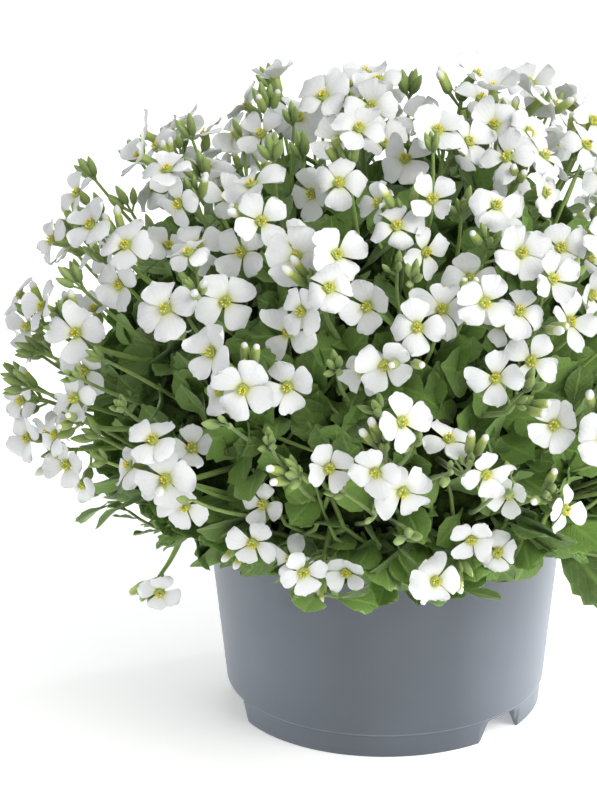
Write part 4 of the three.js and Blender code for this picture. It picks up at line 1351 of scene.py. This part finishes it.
def hair_parts(count):
    """Fine hairs on the stalks and calyces: thin spikes that stand out from the stalk's curve."""
    paths = stalk_paths(np.linspace(0, 1, STALK_POINTS))
    draws = draws_for("hairs", count, 6)
    index = (draws[:, 0] * len(paths)).astype(int)
    place = draws[:, 1] * (STALK_POINTS - 1.01)
    low = place.astype(int)
    base = lerp(paths[index, low], paths[index, low + 1], (place - low)[:, None])
    along = unit(paths[index, low + 1] - paths[index, low])
    side = swung(*side_axes(along), 2 * np.pi * draws[:, 2])
    start = base + side * np.where(draws[:, 1:2] > 0.55, 1.45, 0.45) * MM
    way = unit(side + along * (draws[:, 3:4] - 0.5))
    length = lerp(0.5, 1.1, draws[:, 4:5]) * MM
    lines = line_points(start, way, length * np.array([0, 1.0]))
    return tubes(lines, np.array([0.055, 0.012]) * MM, 3, draws[:, 5])


class FLOWER_OT_flowers(Operator):
    """Grows the flower heads: stems, stalks, calyces, petals, anthers and buds"""
    bl_idname = "aubrieta.flowers"
    bl_label = "Flowers"

    def execute(self, context):
        settings = context.scene.flower_settings
        leaf = context.scene.leaf_settings
        white = petal_white(settings)
        bends = flower_bends(len(FLOWERS["radius"]))
        front = FLOWERS["head"] < FRONT_HEADS
        for name, heads, mask, seed in (
                ("petals_front", HEADS[:FRONT_HEADS], front, SEEDS["front petals"]),
                ("petals_back", HEADS[FRONT_HEADS:], ~front, SEEDS["back petals"])):
            made = petal_mesh(chosen(FLOWERS, mask), bends[mask], settings.petal_thickness, seed)
            piece = new_piece(name, white, *made)
            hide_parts(*heads)
        calyces, bulbs, side_stalks = opening_buds()
        tube_piece("furled_petals", [bulbs], white)
        anthers, pads, stigma = flower_centres()
        tube_piece("anthers", [anthers], plain_material("pollen", settings.anther_colour, 900.0))
        tube_piece("flower_throats", [pads, stigma],
                   plain_material("throat", scaled(settings.throat_colour, 0.66), 700.0))
        buds, bud_stalks = bud_cluster(STEMS[:, 1], unit(STEMS[:, 0] - STEMS[:, 1]), 8,
                                       (4.8 * MM, 8.0 * MM), "head buds")
        shoots, shoot_buds, shoot_stalks = bud_shoots(settings.shoots)
        green = stem_green("calyx", settings.bud_colour, settings.calyx_colour)
        tube_piece("calyces", [calyx_parts(settings), calyces], green)
        green = stem_green("bud", settings.bud_colour, scaled(settings.bud_colour, 1.3))
        tube_piece("buds", [buds, shoot_buds], green)
        paths = stalk_paths(np.linspace(0, 1, STALK_POINTS))
        stalks = tubes(paths, settings.stalk_radius, 6, draws_for("stalks", len(paths), 1))
        groups = [stem_parts(settings), stalks, side_stalks, bud_stalks, shoots, shoot_stalks]
        stem = stem_green("flower_stem", leaf.stem_colour)
        tube_piece("flower_stems", groups, stem)
        hairs = plain_material("down", (0.55, 0.6, 0.42), 300.0)
        tube_piece("stalk_hairs", [hair_parts(HAIRS)], hairs)
        return {"FINISHED"}


# Stage

CAMERA_TARGET = Vector((0, 0, 112.8 * MM))
PRINCIPAL_X = 384.9
IMAGE_WIDTH = 597
IMAGE_HEIGHT = 800
FLOOR_RADIUS = 8.0
COVE_RADIUS = 6.0
FLOOR_GLOW = 0.3
AIR_COLOUR = (0.97, 0.985, 1, 1)
AIR_STRENGTH = 0.5
STRIP_SPREAD = math.radians(8)
# Each light's name, place, target, width, height if it is a strip, power in watts and colour.
LIGHTS = (
    ("key", (0.95, -0.8, 1.1), (0, 0, 0.08), 1.0, None, 24.0, (1, 0.99, 0.97)),
    ("right_strip", (1.15, 0.5, 0.04), (0, 0, 0.03), 0.8, 0.07, 0.68, (0.97, 0.98, 1)),
    ("left_strip", (-1.3, 0.25, 0.04), (0, 0, 0.03), 0.7, 0.07, 0.26, (0.96, 0.98, 1)),
    ("back", (0.3, 1.3, 1.0), (0, 0, 0.1), 1.2, None, 9.0, (1, 1, 1)),
)


def area_light(name, place, target, width, height, power, colour):
    """A square soft light that looks at a target. With a height it is a strip with a grid, whose
    beam spreads little."""
    light = bpy.data.lights.new(name, "AREA")
    light.size = width
    light.energy = power
    light.color = colour
    if height is not None:
        light.shape = "RECTANGLE"
        light.size_y = height
        light.spread = STRIP_SPREAD
    lamp = bpy.data.objects.new(name, light)
    lamp.location = place
    lamp.rotation_euler = (Vector(target) - Vector(place)).to_track_quat("-Z", "Y").to_euler()
    bpy.context.scene.collection.objects.link(lamp)


class STAGE_OT_studio(Operator):
    """Sets up the pale floor, the soft lights and the camera"""
    bl_idname = "aubrieta.stage"
    bl_label = "Studio"

    def execute(self, context):
        settings = context.scene.stage_settings
        scene = context.scene
        self.add_floor(settings)
        for light in LIGHTS:
            area_light(*light)
        world = bpy.data.worlds.new("studio_air")
        world.use_nodes = True
        air = world.node_tree.nodes["Background"]
        air.inputs["Color"].default_value = AIR_COLOUR
        air.inputs["Strength"].default_value = AIR_STRENGTH
        scene.world = world
        scene.view_settings.view_transform = "Standard"
        camera = bpy.data.cameras.new("camera")
        camera.lens = settings.focal_length
        camera.shift_x = (IMAGE_WIDTH / 2 - PRINCIPAL_X) / IMAGE_HEIGHT
        camera.clip_start = 0.05
        camera.clip_end = 50
        eye = bpy.data.objects.new("camera", camera)
        pitch = settings.camera_pitch
        back_way = Vector((0, -math.cos(pitch), math.sin(pitch)))
        eye.location = CAMERA_TARGET + back_way * settings.camera_distance
        eye.rotation_euler = (math.pi / 2 - pitch, 0, 0)
        scene.collection.objects.link(eye)
        scene.camera = eye
        return {"FINISHED"}

    def add_floor(self, settings):
        """A round pale floor that curves up far away, by a quarter circle, into a wall."""
        rise = np.radians(np.linspace(90, 0, 9))
        across = np.append(FLOOR_RADIUS + COVE_RADIUS * np.sin(rise), [4.0, 1.0, 0.2])
        height = np.append(COVE_RADIUS * (1 - np.cos(rise)), [0, 0, 0])
        around = level_direction(np.linspace(0, 360, 65)[:-1])
        points = (across[:, None, None] * around + UP * height[:, None, None]).reshape(-1, 3)
        grid = np.arange(len(points)).reshape(len(across), -1)
        material = new_material("floor", 0.7, Emission_Color=(1, 1, 1, 1),
                                Emission_Strength=FLOOR_GLOW)
        colour = mix(material, noise(material, 3.0), settings.floor_colour,
                     scaled(settings.floor_colour, 1.02))
        finish_material(material, colour)
        floor = new_piece("floor", material, np.append(points, [[0, 0, 0]], 0),
                          ring_quads(grid), fan(grid[-1, ::-1], grid.size))


# Panel and registration

# Each step's settings on the scene, their group and the operator that reads them.
STEPS = (
    ("pot_settings", PotSettings, POT_OT_plant_pot),
    ("soil_settings", SoilSettings, SOIL_OT_compost),
    ("leaf_settings", LeafSettings, LEAF_OT_foliage),
    ("flower_settings", FlowerSettings, FLOWER_OT_flowers),
    ("stage_settings", StageSettings, STAGE_OT_studio),
)


class AUBRIETA_PT_panel(Panel):
    bl_idname = "AUBRIETA_PT_panel"
    bl_label = "Potted Aubrieta"
    bl_space_type = "VIEW_3D"
    bl_region_type = "UI"
    bl_category = "Aubrieta"

    def draw(self, context):
        for name, _, operator in STEPS:
            box = self.layout.box()
            box.operator(operator.bl_idname)
            settings = getattr(context.scene, name)
            for prop in settings.bl_rna.properties:
                if prop.identifier not in {"rna_type", "name"}:
                    box.prop(settings, prop.identifier)


def register():
    for name, group, operator in STEPS:
        bpy.utils.register_class(group)
        setattr(bpy.types.Scene, name, PointerProperty(type=group))
        bpy.utils.register_class(operator)
    bpy.utils.register_class(AUBRIETA_PT_panel)


def unregister():
    bpy.utils.unregister_class(AUBRIETA_PT_panel)
    for name, group, operator in reversed(STEPS):
        bpy.utils.unregister_class(operator)
        delattr(bpy.types.Scene, name)
        bpy.utils.unregister_class(group)


def main():
    register()
    bpy.ops.aubrieta.pot()
    bpy.ops.aubrieta.soil()
    bpy.ops.aubrieta.foliage()
    bpy.ops.aubrieta.flowers()
    bpy.ops.aubrieta.stage()


if __name__ == "__main__":
    main()
